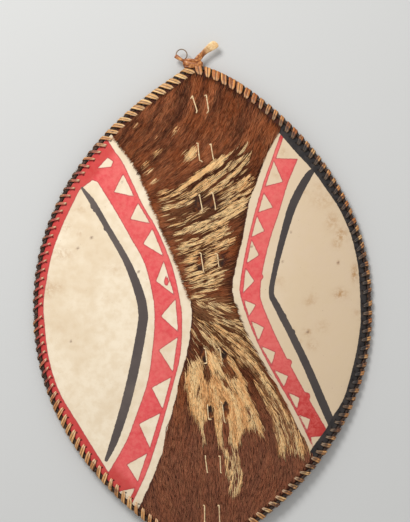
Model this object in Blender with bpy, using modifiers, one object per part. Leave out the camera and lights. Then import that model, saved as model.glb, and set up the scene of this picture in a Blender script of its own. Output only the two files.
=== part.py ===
# Hide shield with a laced edge, lying on its back with the painted side up.
# Metres. X runs to the right, Y towards the knotted end, Z up out of the painted side.

import math

import bmesh
import bpy
from mathutils import Matrix, Vector

# Plan shape: the line of slits that the lacing passes through
HALF_LENGTH = 0.445
HALF_WIDTH = 0.304
SIDE_FULLNESS = 2.15
TIP_POINTEDNESS = 0.85
TIP_LEAN = 0.016
TIP_LEAN_POWER = 36
OUTLINE_STEPS = 52
RIM_TABLE_STEPS = 1440
FRAME_REACH = 0.003
WELD_DISTANCE = 0.00001

# Hide
HIDE_THICKNESS = 0.0036
SIDE_DROP = 0.050
HIDE_EDGE = 0.0052
SHEET_CELLS_X = 10
SHEET_CELLS_Y = 14
SHEET_MARGIN = 0.030
CUT_DEPTH = 0.040
OUTLINE_CUT_DEPTH = 0.320

# Roll of hair-on hide under the lacing
ROLL_RADIUS = 0.0036
ROLL_GAP = 0.0008
ROLL_ROUNDNESS = 1

# Lacing thong
LACE_PITCH = 0.0162
LACE_WIDTH = 0.0094
LACE_WIDTH_IN_SLIT = 0.0044
LACE_THICKNESS = 0.0014
LACE_GAP = 0.0005
LACE_LIFT = 0.0011
LACE_RISE = 0.0009
TOP_GAP = 0.0165
BOTTOM_GAP = 0.0130
JOIN_GAP = 0.0040
LACE_DRIFT = (0.0, 0.14, 0.62, 1.0)
SLIT_GAP = 0.00045
SLIT_SIDE_GAP = 0.00135
SLIT_INNER_GAP = 0.0009

# Stave and its hand grip
STAVE_RADIUS = 0.0090
STAVE_GAP = 0.0012
STAVE_INSET = 0.013
STAVE_OFFSET = 0.022
STAVE_BOW = 0.0140
STAVE_BOW_AT = -0.160
STAVE_STATIONS = 6
STAVE_ROUNDNESS = 2
HAND_GAP = 0.0320
GRIP_LENGTH = 0.069
GRIP_RAMP = 0.035
RAMP_STATIONS = 4
FOOT_CUT = 0.0015

# Thong winding on the grip
WRAP_THICKNESS = 0.0014
WRAP_RIB = 0.0011
WRAP_RIBS = 7
WRAP_GAP = 0.0008
WRAP_SHORTER = 0.004
WRAP_STEPS = 10

# Ties between hide and stave
TIE_FROM_TOP = 0.058
TIE_FROM_BOTTOM = 0.063
TIE_FROM_RAMP = 0.003
UPPER_TIE_SHARES = (1.0, 0.686, 0.378, 0.0)
LOWER_TIE_SHARES = (0.0, 0.361, 0.680, 1.0)
TIE_LENGTH = 0.031
TIE_SPREAD = 0.0263
TIE_RADIUS = 0.0012
TIE_GAP = 0.0004
TIE_HOLE = 0.0031
TIE_HOLE_SIDES = 4
TIE_TUCK = 0.15
TIE_UNDER = 0.55
THONG_ROUNDNESS = 0

# Knot at the top point
KNOT_HALF_WIDTH = 0.0205
KNOT_HALF_LENGTH = 0.0093
KNOT_HALF_HEIGHT = 0.0070
KNOT_RISE = 0.0015
KNOT_GAP = 0.0006
KNOT_SEGMENTS = 14
KNOT_RINGS = 8
GROOVE_STEPS = 6
GROOVE_ROUNDNESS = 2
TAB_LENGTH = 0.054
TAB_NECK = 0.0085
TAB_END = 0.0165
TAB_THICKNESS = 0.0030
TAB_TURN = 44.0
TAB_ROOT = (0.25, 0.35)
# Each corner of the tab: share of its length, then shares of the neck's and of the end's half width
TAB_SHAPE = (
    (0.0, 1.0, 0.0),
    (0.35, 0.85, 0.0),
    (0.62, 0.0, 0.85),
    (0.85, 0.0, 1.0),
    (0.97, 0.0, 0.7),
    (1.0, 0.0, 0.1),
)
STUB_LENGTH = 0.026
STUB_RADIUS = 0.0033
STUB_TURN = 149.0
STUB_SIDES = 8
STUB_ROOT = (-0.55, 0.2)
LOOP_RADIUS = 0.0102
LOOP_LIFT = 0.0082
LOOP_FROM_END = 0.0095
LOOP_WIRE = 0.0009
LOOP_GAP = 0.0004
LOOP_STEPS = 14

COLOURS = {
    "hide": (0.80, 0.70, 0.56),
    "roll": (0.10, 0.06, 0.04),
    "lace": (0.66, 0.42, 0.20),
    "tie": (0.76, 0.62, 0.42),
    "wood": (0.32, 0.19, 0.10),
    "winding": (0.36, 0.20, 0.10),
    "knot": (0.52, 0.29, 0.12),
    "loop": (0.45, 0.38, 0.30),
}
ROUGHNESS = 0.7

# Values that follow from the sizes above
HALF_HIDE = HIDE_THICKNESS / 2
ROLL_OUT = HIDE_EDGE + ROLL_GAP + ROLL_RADIUS
LACE_TOP = ROLL_RADIUS + LACE_RISE
LACE_OUT = ROLL_OUT + ROLL_RADIUS + LACE_GAP
LACE_IN = HALF_HIDE + LACE_LIFT
STAVE_REACH = HALF_LENGTH - STAVE_INSET
STAVE_DEPTH = HALF_HIDE + STAVE_GAP + STAVE_RADIUS
WRAP_INNER = STAVE_RADIUS + WRAP_GAP
WRAP_OUTER = WRAP_INNER + WRAP_THICKNESS + WRAP_RIB
GRIP_DEPTH = HALF_HIDE + HAND_GAP + WRAP_OUTER


# Inner side of one turn of lacing: places out from the slit line and up from the hide's middle, and the width
def turn_profile():
    return [
        (0.0, LACE_IN, LACE_WIDTH_IN_SLIT),
        (LACE_OUT, LACE_TOP, LACE_WIDTH),
        (LACE_OUT, -LACE_TOP, LACE_WIDTH),
        (0.0, -LACE_IN, LACE_WIDTH_IN_SLIT),
    ]


# Crown of the thong at each corner of a turn: outwards along the corner's bisector
def turn_crowns(profile):
    crowns = []
    count = len(profile)
    for index in range(count):
        here = Vector(profile[index][:2])
        before = Vector(profile[index - 1][:2])
        after = Vector(profile[(index + 1) % count][:2])
        into = (here - before).normalized()
        out_of = (after - here).normalized()
        normal = Vector((-into.y - out_of.y, into.x + out_of.x)).normalized()
        half_turn = math.acos(max(-1, min(1, into.dot(out_of)))) / 2
        crowns.append(here + normal * LACE_THICKNESS / math.cos(half_turn))
    return crowns


# Height of the shield's lowest lacing below the crown: the sides rest there
def floor_depth():
    tilt = math.atan(2 * SIDE_DROP / HALF_WIDTH)
    drops = []
    for crown in turn_crowns(turn_profile()):
        drops.append(math.sin(tilt) * crown.x - math.cos(tilt) * crown.y)
    return SIDE_DROP + max(drops)


FLOOR_DEPTH = floor_depth()
# The ends drop so far that the stave's feet reach the same floor as the sides
END_DROP = (FLOOR_DEPTH - STAVE_DEPTH - STAVE_RADIUS + FOOT_CUT) * (HALF_LENGTH / STAVE_REACH) ** 2


def dome(x, y):
    return -SIDE_DROP * (x / HALF_WIDTH) ** 2 - END_DROP * (y / HALF_LENGTH) ** 2


def dome_up(x, y):
    slope_x = -2 * SIDE_DROP * x / HALF_WIDTH ** 2
    slope_y = -2 * END_DROP * y / HALF_LENGTH ** 2
    return Vector((-slope_x, -slope_y, 1)).normalized()


# A point of the slit line, by the angle from the middle, in plan
def slit_line(angle):
    rise = math.sin(angle)
    reach = max(1 - abs(rise) ** SIDE_FULLNESS, 0) ** TIP_POINTEDNESS
    lean = math.copysign(TIP_LEAN * abs(rise) ** TIP_LEAN_POWER, rise)
    x = math.copysign(HALF_WIDTH * reach, math.cos(angle)) - lean
    return Vector((x, HALF_LENGTH * rise))


# Running length round the slit line, from the top point down the left side and back up the right
def make_rim_table():
    points = []
    for step in range(RIM_TABLE_STEPS + 1):
        points.append(slit_line(math.pi / 2 + math.tau * step / RIM_TABLE_STEPS))
    lengths = [0.0]
    for start, end in zip(points, points[1:]):
        lengths.append(lengths[-1] + (end - start).length)
    return points, lengths


RIM_POINTS, RIM_LENGTHS = make_rim_table()
RIM_TOTAL = RIM_LENGTHS[-1]


def rim_plan(run):
    run = run % RIM_TOTAL
    low = 0
    high = RIM_TABLE_STEPS
    while high - low > 1:
        middle = (low + high) // 2
        if RIM_LENGTHS[middle] <= run:
            low = middle
        else:
            high = middle
    share = (run - RIM_LENGTHS[low]) / (RIM_LENGTHS[high] - RIM_LENGTHS[low])
    return RIM_POINTS[low].lerp(RIM_POINTS[high], share)


# Place on the slit line with its directions along the edge, outwards and up
def rim_frame(run):
    plan = rim_plan(run)
    ahead = rim_plan(run + FRAME_REACH) - rim_plan(run - FRAME_REACH)
    up = dome_up(plan.x, plan.y)
    along = Vector((ahead.x, ahead.y, 0))
    along = (along - up * along.dot(up)).normalized()
    outwards = along.cross(up)
    base = Vector((plan.x, plan.y, dome(plan.x, plan.y)))
    return base, along, outwards, up


def rim_point(run, out, rise, sideways=0.0):
    base, along, outwards, up = rim_frame(run)
    return base + along * sideways + outwards * out + up * rise


# Runs of the outline's corners, closer together at the points than at the sides
def outline_runs():
    runs = []
    for step in range(OUTLINE_STEPS):
        index = step * RIM_TABLE_STEPS // OUTLINE_STEPS
        runs.append(RIM_LENGTHS[index])
    return runs


# The stave is a slightly bent stick, seen from the front
def stave_x(y):
    return STAVE_OFFSET - STAVE_BOW * ((y - STAVE_BOW_AT) / STAVE_REACH) ** 2


# Height of the stave's middle line: under the hide, and bowed away from it at the hand grip
def stave_z(y):
    close = dome(stave_x(y), y) - STAVE_DEPTH
    past_grip = (abs(y) - GRIP_LENGTH / 2) / GRIP_RAMP
    share = min(max(past_grip, 0), 1)
    blend = share * share * (3 - 2 * share)
    return -GRIP_DEPTH * (1 - blend) + close * blend


def make_material(name):
    material = bpy.data.materials.new(name)
    material.use_nodes = True
    shader = material.node_tree.nodes["Principled BSDF"]
    shader.inputs["Base Color"].default_value = (*COLOURS[name], 1)
    shader.inputs["Roughness"].default_value = ROUGHNESS
    shader.inputs["Metallic"].default_value = 0
    return material


def make_object(name, data, collection, material=None):
    item = bpy.data.objects.new(name, data)
    collection.objects.link(item)
    item.parent = ground_frame
    if material:
        data.materials.append(material)
    return item


def make_cutter(name, data):
    cutter = make_object(name, data, cutters)
    cutter.hide_render = True
    cutter.display_type = "WIRE"
    return cutter


def mesh_from(form, name):
    mesh = bpy.data.meshes.new(name)
    form.to_mesh(mesh)
    form.free()
    return mesh


# A tube along straight runs between points
def make_tube(name, points, radius, resolution, closed, collection, material=None):
    curve = bpy.data.curves.new(name, "CURVE")
    curve.dimensions = "3D"
    curve.bevel_depth = radius
    curve.bevel_resolution = resolution
    curve.use_fill_caps = not closed
    spline = curve.splines.new("POLY")
    spline.points.add(len(points) - 1)
    for knot, place in zip(spline.points, points):
        knot.co = (*place, 1)
    spline.use_cyclic_u = closed
    return make_object(name, curve, collection, material)


# A flat outline with a thickness, lying in its own XY plane
def make_plate(name, points, thickness, collection):
    curve = bpy.data.curves.new(name, "CURVE")
    curve.dimensions = "2D"
    curve.fill_mode = "BOTH"
    curve.extrude = thickness / 2
    spline = curve.splines.new("POLY")
    spline.points.add(len(points) - 1)
    for knot, place in zip(spline.points, points):
        knot.co = (place[0], place[1], 0, 1)
    spline.use_cyclic_u = True
    return make_object(name, curve, collection)


# The same form as a mesh, so that it can cut or be cut
def turn_into_mesh(item):
    bpy.context.view_layer.update()
    evaluated = item.evaluated_get(bpy.context.evaluated_depsgraph_get())
    mesh = bpy.data.meshes.new_from_object(evaluated)
    form = bmesh.new()
    form.from_mesh(mesh)
    bmesh.ops.remove_doubles(form, verts=form.verts, dist=WELD_DISTANCE)
    bmesh.ops.recalc_face_normals(form, faces=form.faces)
    form.to_mesh(mesh)
    form.free()
    name = item.name
    curve = item.data
    collection = item.users_collection[0]
    placing = item.matrix_world.copy()
    bpy.data.objects.remove(item)
    bpy.data.curves.remove(curve)
    solid = make_object(name, mesh, collection)
    solid.matrix_world = placing
    solid.name = name
    return solid


def add_boolean(target, cutter, operation):
    modifier = target.modifiers.new(operation.title() + " " + cutter.name, "BOOLEAN")
    modifier.operation = operation
    modifier.solver = "EXACT"
    modifier.object = cutter


# Steps from one slit to the next, and how many turns fit between two runs
def turn_runs(start, end):
    turns = max(int(abs(end - start) / LACE_PITCH + 0.5), 2)
    return [start + (end - start) * turn / turns for turn in range(turns + 1)]


def lace_stretches():
    half = RIM_TOTAL / 2
    return {
        "edge_thong_upper_left": turn_runs(TOP_GAP, half / 2 - JOIN_GAP),
        "edge_thong_lower_left": turn_runs(half / 2 + JOIN_GAP, half - BOTTOM_GAP),
        "edge_thong_lower_right": turn_runs(RIM_TOTAL - half / 2 - JOIN_GAP, half + BOTTOM_GAP),
        "edge_thong_upper_right": turn_runs(RIM_TOTAL - TOP_GAP, RIM_TOTAL - half / 2 + JOIN_GAP),
    }


def make_hide(material):
    form = bmesh.new()
    bmesh.ops.create_grid(form, x_segments=SHEET_CELLS_X, y_segments=SHEET_CELLS_Y, size=1)
    for corner in form.verts:
        x = corner.co.x * (HALF_WIDTH + SHEET_MARGIN)
        y = corner.co.y * (HALF_LENGTH + SHEET_MARGIN)
        corner.co = (x, y, dome(x, y))
    bmesh.ops.triangulate(form, faces=form.faces)
    hide = make_object("hide", mesh_from(form, "hide"), parts, material)
    thickness = hide.modifiers.new("Thickness", "SOLIDIFY")
    thickness.thickness = HIDE_THICKNESS
    thickness.offset = 0
    thickness.use_even_offset = True
    outline = [rim_point(run, HIDE_EDGE, 0).xy for run in outline_runs()]
    stencil = turn_into_mesh(make_plate("hide_outline", outline, OUTLINE_CUT_DEPTH, cutters))
    stencil.hide_render = True
    stencil.display_type = "WIRE"
    add_boolean(hide, stencil, "INTERSECT")
    add_boolean(hide, make_cutter("lace_slits", slit_mesh()), "DIFFERENCE")
    add_boolean(hide, make_cutter("tie_holes", tie_hole_mesh()), "DIFFERENCE")
    return hide


# Three-sided slits, flat side out, one under each turn of the lacing
def slit_mesh():
    half_base = LACE_WIDTH_IN_SLIT / 2 + SLIT_SIDE_GAP
    depth = LACE_THICKNESS + SLIT_INNER_GAP + SLIT_GAP
    spin = Matrix.Rotation(math.radians(90), 4, "Z")
    # A three-sided prism of radius 1 is 1.5 deep and twice the sine of 60 degrees wide
    stretch = Matrix.Diagonal((depth / 1.5, half_base / math.sin(math.radians(60)), 1, 1))
    form = bmesh.new()
    for runs in lace_stretches().values():
        for run in runs:
            base, along, outwards, up = rim_frame(run)
            axes = Matrix((outwards, along, up)).transposed().to_4x4()
            axes.translation = base + outwards * (SLIT_GAP - depth / 3)
            cone = bmesh.ops.create_cone(form, cap_ends=True, segments=3, radius1=1, radius2=1,
                                         depth=CUT_DEPTH, matrix=Matrix.Identity(4))
            bmesh.ops.transform(form, matrix=axes @ stretch @ spin, verts=cone["verts"])
    bmesh.ops.recalc_face_normals(form, faces=form.faces)
    return mesh_from(form, "lace_slits")


# Middles of the ties, from the top down: none sits on the grip, where the stave stands off the hide
def tie_rows():
    nearest = GRIP_LENGTH / 2 + GRIP_RAMP + TIE_FROM_RAMP + TIE_LENGTH / 2
    top = HALF_LENGTH - TIE_FROM_TOP
    bottom = HALF_LENGTH - TIE_FROM_BOTTOM
    rows = [nearest + (top - nearest) * share for share in UPPER_TIE_SHARES]
    return rows + [-nearest - (bottom - nearest) * share for share in LOWER_TIE_SHARES]


def tie_places():
    places = []
    for row in tie_rows():
        for end in (1, -1):
            y = row + end * TIE_LENGTH / 2
            for side in (-1, 1):
                places.append((stave_x(y) + side * TIE_SPREAD / 2, y))
    return places


def tie_hole_mesh():
    form = bmesh.new()
    for x, y in tie_places():
        place = Matrix.Translation((x, y, dome(x, y)))
        bmesh.ops.create_cone(form, cap_ends=True, segments=TIE_HOLE_SIDES, radius1=TIE_HOLE,
                              radius2=TIE_HOLE, depth=CUT_DEPTH, matrix=place)
    bmesh.ops.recalc_face_normals(form, faces=form.faces)
    return mesh_from(form, "tie_holes")


def make_roll(material):
    points = [rim_point(run, ROLL_OUT, 0) for run in outline_runs()]
    return make_tube("rim_roll", points, ROLL_RADIUS, ROLL_ROUNDNESS, True, parts, material)


# One length of thong: a crowned strap over the roll, round the edge, back under and up through the next slit
def make_lace(name, runs, material):
    profile = turn_profile()
    crowns = turn_crowns(profile)
    form = bmesh.new()
    rings = []
    for start, end in zip(runs, runs[1:]):
        for corner, crown, drift in zip(profile, crowns, LACE_DRIFT):
            run = start + (end - start) * drift
            half = corner[2] / 2
            left = form.verts.new(rim_point(run, corner[0], corner[1], -half))
            right = form.verts.new(rim_point(run, corner[0], corner[1], half))
            top = form.verts.new(rim_point(run, crown.x, crown.y))
            rings.append((left, right, top))
    for ring, following in zip(rings, rings[1:]):
        for side in range(3):
            beside = (side + 1) % 3
            form.faces.new((ring[side], ring[beside], following[beside], following[side]))
    form.faces.new(rings[0])
    form.faces.new(rings[-1])
    bmesh.ops.recalc_face_normals(form, faces=form.faces)
    return make_object(name, mesh_from(form, name), parts, material)


def stave_stations():
    stations = []
    for step in range(RAMP_STATIONS + 1):
        stations.append(GRIP_LENGTH / 2 + GRIP_RAMP * step / RAMP_STATIONS)
    past = stations[-1]
    for step in range(1, STAVE_STATIONS + 1):
        stations.append(past + (STAVE_REACH - past) * step / STAVE_STATIONS)
    return [-station for station in reversed(stations)] + stations


def make_stave(material):
    points = [Vector((stave_x(y), y, stave_z(y))) for y in stave_stations()]
    stave = turn_into_mesh(make_tube("stave", points, STAVE_RADIUS, STAVE_ROUNDNESS, False, parts))
    stave.data.materials.append(material)
    form = bmesh.new()
    ground = Matrix.Translation((0, 0, -FLOOR_DEPTH - CUT_DEPTH / 2))
    size = Matrix.Diagonal((HALF_WIDTH, HALF_LENGTH * 2, CUT_DEPTH, 1))
    bmesh.ops.create_cube(form, size=1, matrix=ground @ size)
    add_boolean(stave, make_cutter("stave_foot_cut", mesh_from(form, "stave_foot_cut")), "DIFFERENCE")
    return stave


# Ribbed sleeve of thong turned round the straight of the grip
def make_grip_wrap(material):
    length = GRIP_LENGTH - WRAP_SHORTER
    rib = length / WRAP_RIBS
    form = bmesh.new()
    corners = [form.verts.new((WRAP_INNER, 0, -length / 2)), form.verts.new((WRAP_INNER, 0, length / 2))]
    for index in range(WRAP_RIBS):
        top = length / 2 - rib * index
        corners.append(form.verts.new((WRAP_OUTER - WRAP_RIB, 0, top)))
        corners.append(form.verts.new((WRAP_OUTER, 0, top - rib / 2)))
    corners.append(form.verts.new((WRAP_OUTER - WRAP_RIB, 0, -length / 2)))
    for index, corner in enumerate(corners):
        form.edges.new((corner, corners[(index + 1) % len(corners)]))
    wrap = make_object("grip_wrap", mesh_from(form, "grip_wrap"), parts, material)
    turned = wrap.modifiers.new("Turned", "SCREW")
    turned.steps = WRAP_STEPS
    turned.render_steps = WRAP_STEPS
    turned.use_merge_vertices = True
    turned.merge_threshold = WELD_DISTANCE
    lower = Vector((stave_x(-GRIP_LENGTH / 2), -GRIP_LENGTH / 2, -GRIP_DEPTH))
    upper = Vector((stave_x(GRIP_LENGTH / 2), GRIP_LENGTH / 2, -GRIP_DEPTH))
    wrap.location = (lower + upper) / 2
    wrap.rotation_euler = (upper - lower).to_track_quat("Z", "Y").to_euler()
    return wrap


# One tie: two stitches on the front, and two crossings behind the stave
def make_tie(number, row, material):
    front = HALF_HIDE + TIE_GAP + TIE_RADIUS
    waist = STAVE_RADIUS + TIE_GAP + TIE_RADIUS
    points = []
    for end in (1, -1):
        y = row + end * TIE_LENGTH / 2
        middle = stave_x(y)
        axis = stave_z(y)
        below = axis - waist
        half = TIE_SPREAD / 2
        crossing = [
            (-half, dome(middle - half, y) + front),
            (-waist, axis - STAVE_RADIUS * TIE_TUCK),
            (-waist * TIE_UNDER, below),
            (waist * TIE_UNDER, below),
            (waist, axis - STAVE_RADIUS * TIE_TUCK),
            (half, dome(middle + half, y) + front),
        ]
        if end < 0:
            crossing.reverse()
        for x, z in crossing:
            points.append(Vector((middle + x, y, z)))
    return make_tube(f"tie_{number}", points, TIE_RADIUS, THONG_ROUNDNESS, True, parts, material)


# Spoon-shaped end of the knot's thong, seen from the front
def tab_outline():
    right = []
    for along, neck, end in TAB_SHAPE:
        right.append((TAB_LENGTH * along, (TAB_NECK * neck + TAB_END * end) / 2))
    left = [(x, -y) for x, y in reversed(right)]
    return right + left


def make_knot(material):
    centre = rim_point(0, HIDE_EDGE + ROLL_GAP + KNOT_HALF_LENGTH, KNOT_RISE)
    form = bmesh.new()
    size = Matrix.Diagonal((KNOT_HALF_WIDTH, KNOT_HALF_LENGTH, KNOT_HALF_HEIGHT, 1))
    bmesh.ops.create_uvsphere(form, u_segments=KNOT_SEGMENTS, v_segments=KNOT_RINGS, radius=1,
                              matrix=Matrix.Translation(centre) @ size)
    knot = make_object("top_knot", mesh_from(form, "top_knot"), parts, material)

    tab = turn_into_mesh(make_plate("knot_tab", tab_outline(), TAB_THICKNESS, cutters))
    tab.hide_render = True
    tab.display_type = "WIRE"
    tab.location = centre + Vector((KNOT_HALF_WIDTH * TAB_ROOT[0], KNOT_HALF_LENGTH * TAB_ROOT[1], 0))
    tab.rotation_euler = (0, 0, math.radians(TAB_TURN))
    add_boolean(knot, tab, "UNION")

    form = bmesh.new()
    lying = Matrix.Rotation(math.radians(90), 4, "Y")
    ahead = Matrix.Translation((STUB_LENGTH / 2, 0, 0))
    bmesh.ops.create_cone(form, cap_ends=True, segments=STUB_SIDES, radius1=STUB_RADIUS,
                          radius2=STUB_RADIUS, depth=STUB_LENGTH, matrix=ahead @ lying)
    stub = make_cutter("knot_stub", mesh_from(form, "knot_stub"))
    stub_root = centre + Vector((KNOT_HALF_WIDTH * STUB_ROOT[0], KNOT_HALF_LENGTH * STUB_ROOT[1], 0))
    stub.location = stub_root
    stub.rotation_euler = (0, 0, math.radians(STUB_TURN))
    add_boolean(knot, stub, "UNION")

    # The roll passes through the knot: its line is cut out for twice the knot's width
    near = []
    for step in range(-GROOVE_STEPS, GROOVE_STEPS + 1):
        near.append(rim_point(step * 2 * KNOT_HALF_WIDTH / GROOVE_STEPS, ROLL_OUT, 0))
    groove = turn_into_mesh(make_tube("roll_groove", near, ROLL_RADIUS + KNOT_GAP, GROOVE_ROUNDNESS,
                                      False, cutters))
    groove.hide_render = True
    groove.display_type = "WIRE"
    add_boolean(knot, groove, "DIFFERENCE")
    return stub_root


# Thin loop standing on the stub: an open ring with both ends against the stub's upper side
def make_loop(stub_root, material):
    turn = math.radians(STUB_TURN)
    ahead = Vector((math.cos(turn), math.sin(turn), 0))
    aside = Vector((math.sin(turn), -math.cos(turn), 0))
    middle = stub_root + ahead * (STUB_LENGTH - LOOP_FROM_END) + aside * LOOP_LIFT
    to_stub = turn + math.pi / 2
    reach = LOOP_LIFT - STUB_RADIUS - LOOP_WIRE - LOOP_GAP
    opening = math.acos(reach / LOOP_RADIUS)
    points = []
    for step in range(LOOP_STEPS + 1):
        angle = to_stub + opening + (math.tau - 2 * opening) * step / LOOP_STEPS
        points.append(middle + Vector((math.cos(angle), math.sin(angle), 0)) * LOOP_RADIUS)
    return make_tube("hanging_loop", points, LOOP_WIRE, THONG_ROUNDNESS, False, parts, material)


# The whole shield stands on its lowest points, centred over the origin
def set_on_ground():
    bpy.context.view_layer.update()
    depsgraph = bpy.context.evaluated_depsgraph_get()
    low = Vector((math.inf, math.inf, math.inf))
    high = -low
    for item in parts.objects:
        evaluated = item.evaluated_get(depsgraph)
        mesh = evaluated.to_mesh()
        for corner in mesh.vertices:
            place = evaluated.matrix_world @ corner.co
            for axis in range(3):
                low[axis] = min(low[axis], place[axis])
                high[axis] = max(high[axis], place[axis])
        evaluated.to_mesh_clear()
    ground_frame.location = (-(low.x + high.x) / 2, -(low.y + high.y) / 2, -low.z)


for leftover in list(bpy.data.objects):
    bpy.data.objects.remove(leftover)

parts = bpy.data.collections.new("hide_shield")
cutters = bpy.data.collections.new("cutters")
bpy.context.scene.collection.children.link(parts)
bpy.context.scene.collection.children.link(cutters)
ground_frame = bpy.data.objects.new("ground_frame", None)
bpy.context.scene.collection.objects.link(ground_frame)

make_hide(make_material("hide"))
make_roll(make_material("roll"))
lace_material = make_material("lace")
for lace_name, lace_runs in lace_stretches().items():
    make_lace(lace_name, lace_runs, lace_material)
make_stave(make_material("wood"))
make_grip_wrap(make_material("winding"))
tie_material = make_material("tie")
for tie_number, tie_row in enumerate(tie_rows(), start=1):
    make_tie(tie_number, tie_row, tie_material)
loop_stub_root = make_knot(make_material("knot"))
make_loop(loop_stub_root, make_material("loop"))
set_on_ground()
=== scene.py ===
import math

import bmesh
import bpy
import numpy as np
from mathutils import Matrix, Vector


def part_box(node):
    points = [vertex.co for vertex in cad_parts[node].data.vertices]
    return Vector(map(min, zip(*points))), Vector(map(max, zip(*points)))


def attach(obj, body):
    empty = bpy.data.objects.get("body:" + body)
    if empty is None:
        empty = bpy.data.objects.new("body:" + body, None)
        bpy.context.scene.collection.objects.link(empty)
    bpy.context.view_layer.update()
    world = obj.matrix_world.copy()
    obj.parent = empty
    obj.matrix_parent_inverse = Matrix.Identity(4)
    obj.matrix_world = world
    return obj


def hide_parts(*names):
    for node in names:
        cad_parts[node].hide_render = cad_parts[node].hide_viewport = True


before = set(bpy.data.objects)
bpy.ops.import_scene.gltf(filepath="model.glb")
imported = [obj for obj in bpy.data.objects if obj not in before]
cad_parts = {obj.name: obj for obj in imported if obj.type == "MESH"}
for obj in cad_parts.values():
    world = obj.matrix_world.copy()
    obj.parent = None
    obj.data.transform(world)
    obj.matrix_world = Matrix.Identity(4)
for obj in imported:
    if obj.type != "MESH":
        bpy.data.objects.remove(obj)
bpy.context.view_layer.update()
mm = 0.001

# The hide shield lies on its back, painted side up. Plan places are in millimetres from the
# middle of the slit line: x to the right, y towards the knotted end.
shield = {
    "halfLength": 0.445,
    "halfWidth": 0.304,
    "sideFullness": 2.15,
    "tipPointedness": 0.85,
    "tipLean": 0.016,
    "tipLeanPower": 36,
    "sideDrop": 0.050,
    "endDrop": 0.0435,
    "halfThickness": 0.0018,
    "edgeReach": 0.0052,  # from the slits out to the hide's edge
    "rollRadius": 0.0036,
    "rollOut": 0.0096,  # from the slits out to the roll's middle
    "tableSteps": 2880,
    "frameReach": 0.003,
}
hideLow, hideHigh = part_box("hide")
shieldMiddle = np.array([
    (hideLow.x + hideHigh.x) / 2,
    (hideLow.y + hideHigh.y) / 2,
    hideHigh.z - shield["halfThickness"],
])


def domeHeight(x, y):
    across = shield["sideDrop"] * (x / shield["halfWidth"]) ** 2
    lengthways = shield["endDrop"] * (y / shield["halfLength"]) ** 2
    return -across - lengthways


def domeUp(x, y):
    slopeX = 2 * shield["sideDrop"] * x / shield["halfWidth"] ** 2
    slopeY = 2 * shield["endDrop"] * y / shield["halfLength"] ** 2
    up = np.stack([slopeX, slopeY, np.ones_like(slopeX)], -1)
    return up / np.linalg.norm(up, axis=-1, keepdims=True)


def unit(rows):
    return rows / np.maximum(np.linalg.norm(rows, axis=-1, keepdims=True), 1e-12)


def slitLine(angle):
    rise = np.sin(angle)
    reach = np.maximum(1 - np.abs(rise) ** shield["sideFullness"], 0) ** shield["tipPointedness"]
    lean = np.sign(rise) * shield["tipLean"] * np.abs(rise) ** shield["tipLeanPower"]
    x = np.sign(np.cos(angle)) * shield["halfWidth"] * reach - lean
    return np.stack([x, shield["halfLength"] * rise], -1)


# Running length round the slits: from the top point down the left side and back up the right
rimPlan = slitLine(math.pi / 2 + math.tau * np.arange(shield["tableSteps"] + 1) / shield["tableSteps"])
rimLength = np.concatenate([[0], np.cumsum(np.linalg.norm(np.diff(rimPlan, axis=0), axis=1))])
rimTotal = rimLength[-1]


def planAt(run):
    run = np.mod(run, rimTotal)
    return np.stack([np.interp(run, rimLength, rimPlan[:, axis]) for axis in (0, 1)], -1)


def rimFrame(run):
    plan = planAt(run)
    ahead = planAt(run + shield["frameReach"]) - planAt(run - shield["frameReach"])
    up = domeUp(plan[..., 0], plan[..., 1])
    along = np.concatenate([ahead, np.zeros_like(ahead[..., :1])], -1)
    along = unit(along - up * np.sum(along * up, -1, keepdims=True))
    outwards = np.cross(along, up)
    height = domeHeight(plan[..., 0], plan[..., 1])
    return np.concatenate([plan, height[..., None]], -1), along, outwards, up


def rimPoint(run, out, rise):
    run, out, rise = np.broadcast_arrays(run, out, rise)
    base, _, outwards, up = rimFrame(run)
    return base + outwards * out[..., None] + up * rise[..., None]


def surfacePoint(x, y, height):
    up = domeUp(x, y)
    base = np.stack([x, y, domeHeight(x, y)], -1)
    return base + up * (shield["halfThickness"] + np.asarray(height))[..., None]


# Smooth random field from 0 to 1, its grain of the given size
def softNoise(x, y, size, seed):
    cells = 97
    lattice = np.random.default_rng(seed).random((cells, cells))
    u = x / size
    v = y / size
    column = np.floor(u).astype(int)
    row = np.floor(v).astype(int)
    u = u - column
    v = v - row
    u = u * u * (3 - 2 * u)
    v = v * v * (3 - 2 * v)
    left = column % cells
    right = (column + 1) % cells
    near, far = [lattice[level, left] * (1 - u) + lattice[level, right] * u
                 for level in (row % cells, (row + 1) % cells)]
    return near * (1 - v) + far * v


def smoothLine(points, steps=6):
    points = np.array(points, float)
    padded = np.concatenate([[2 * points[0] - points[1]], points, [2 * points[-1] - points[-2]]])
    line = []
    for before, start, end, after in zip(padded, padded[1:], padded[2:], padded[3:]):
        for share in np.arange(steps) / steps:
            line.append(0.5 * (2 * start + (end - before) * share
                               + (2 * before - 5 * start + 4 * end - after) * share ** 2
                               + (3 * start - before - 3 * end + after) * share ** 3))
    line.append(points[-1])
    return np.array(line)


# Distance to a closed outline, positive inside it
def depthInside(x, y, outline):
    nearest = np.full(x.shape, np.inf)
    inside = np.zeros(x.shape, bool)
    for (startX, startY), (endX, endY) in zip(outline, np.roll(outline, -1, axis=0)):
        edgeX = endX - startX
        edgeY = endY - startY
        share = ((x - startX) * edgeX + (y - startY) * edgeY) / max(edgeX ** 2 + edgeY ** 2, 1e-9)
        share = np.clip(share, 0, 1)
        nearest = np.minimum(nearest, (x - startX - share * edgeX) ** 2 + (y - startY - share * edgeY) ** 2)
        if startY != endY:
            crossed = (startY > y) != (endY > y)
            inside ^= crossed & (x < startX + (y - startY) / edgeY * edgeX)
    return np.where(inside, 1, -1) * np.sqrt(nearest)


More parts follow.
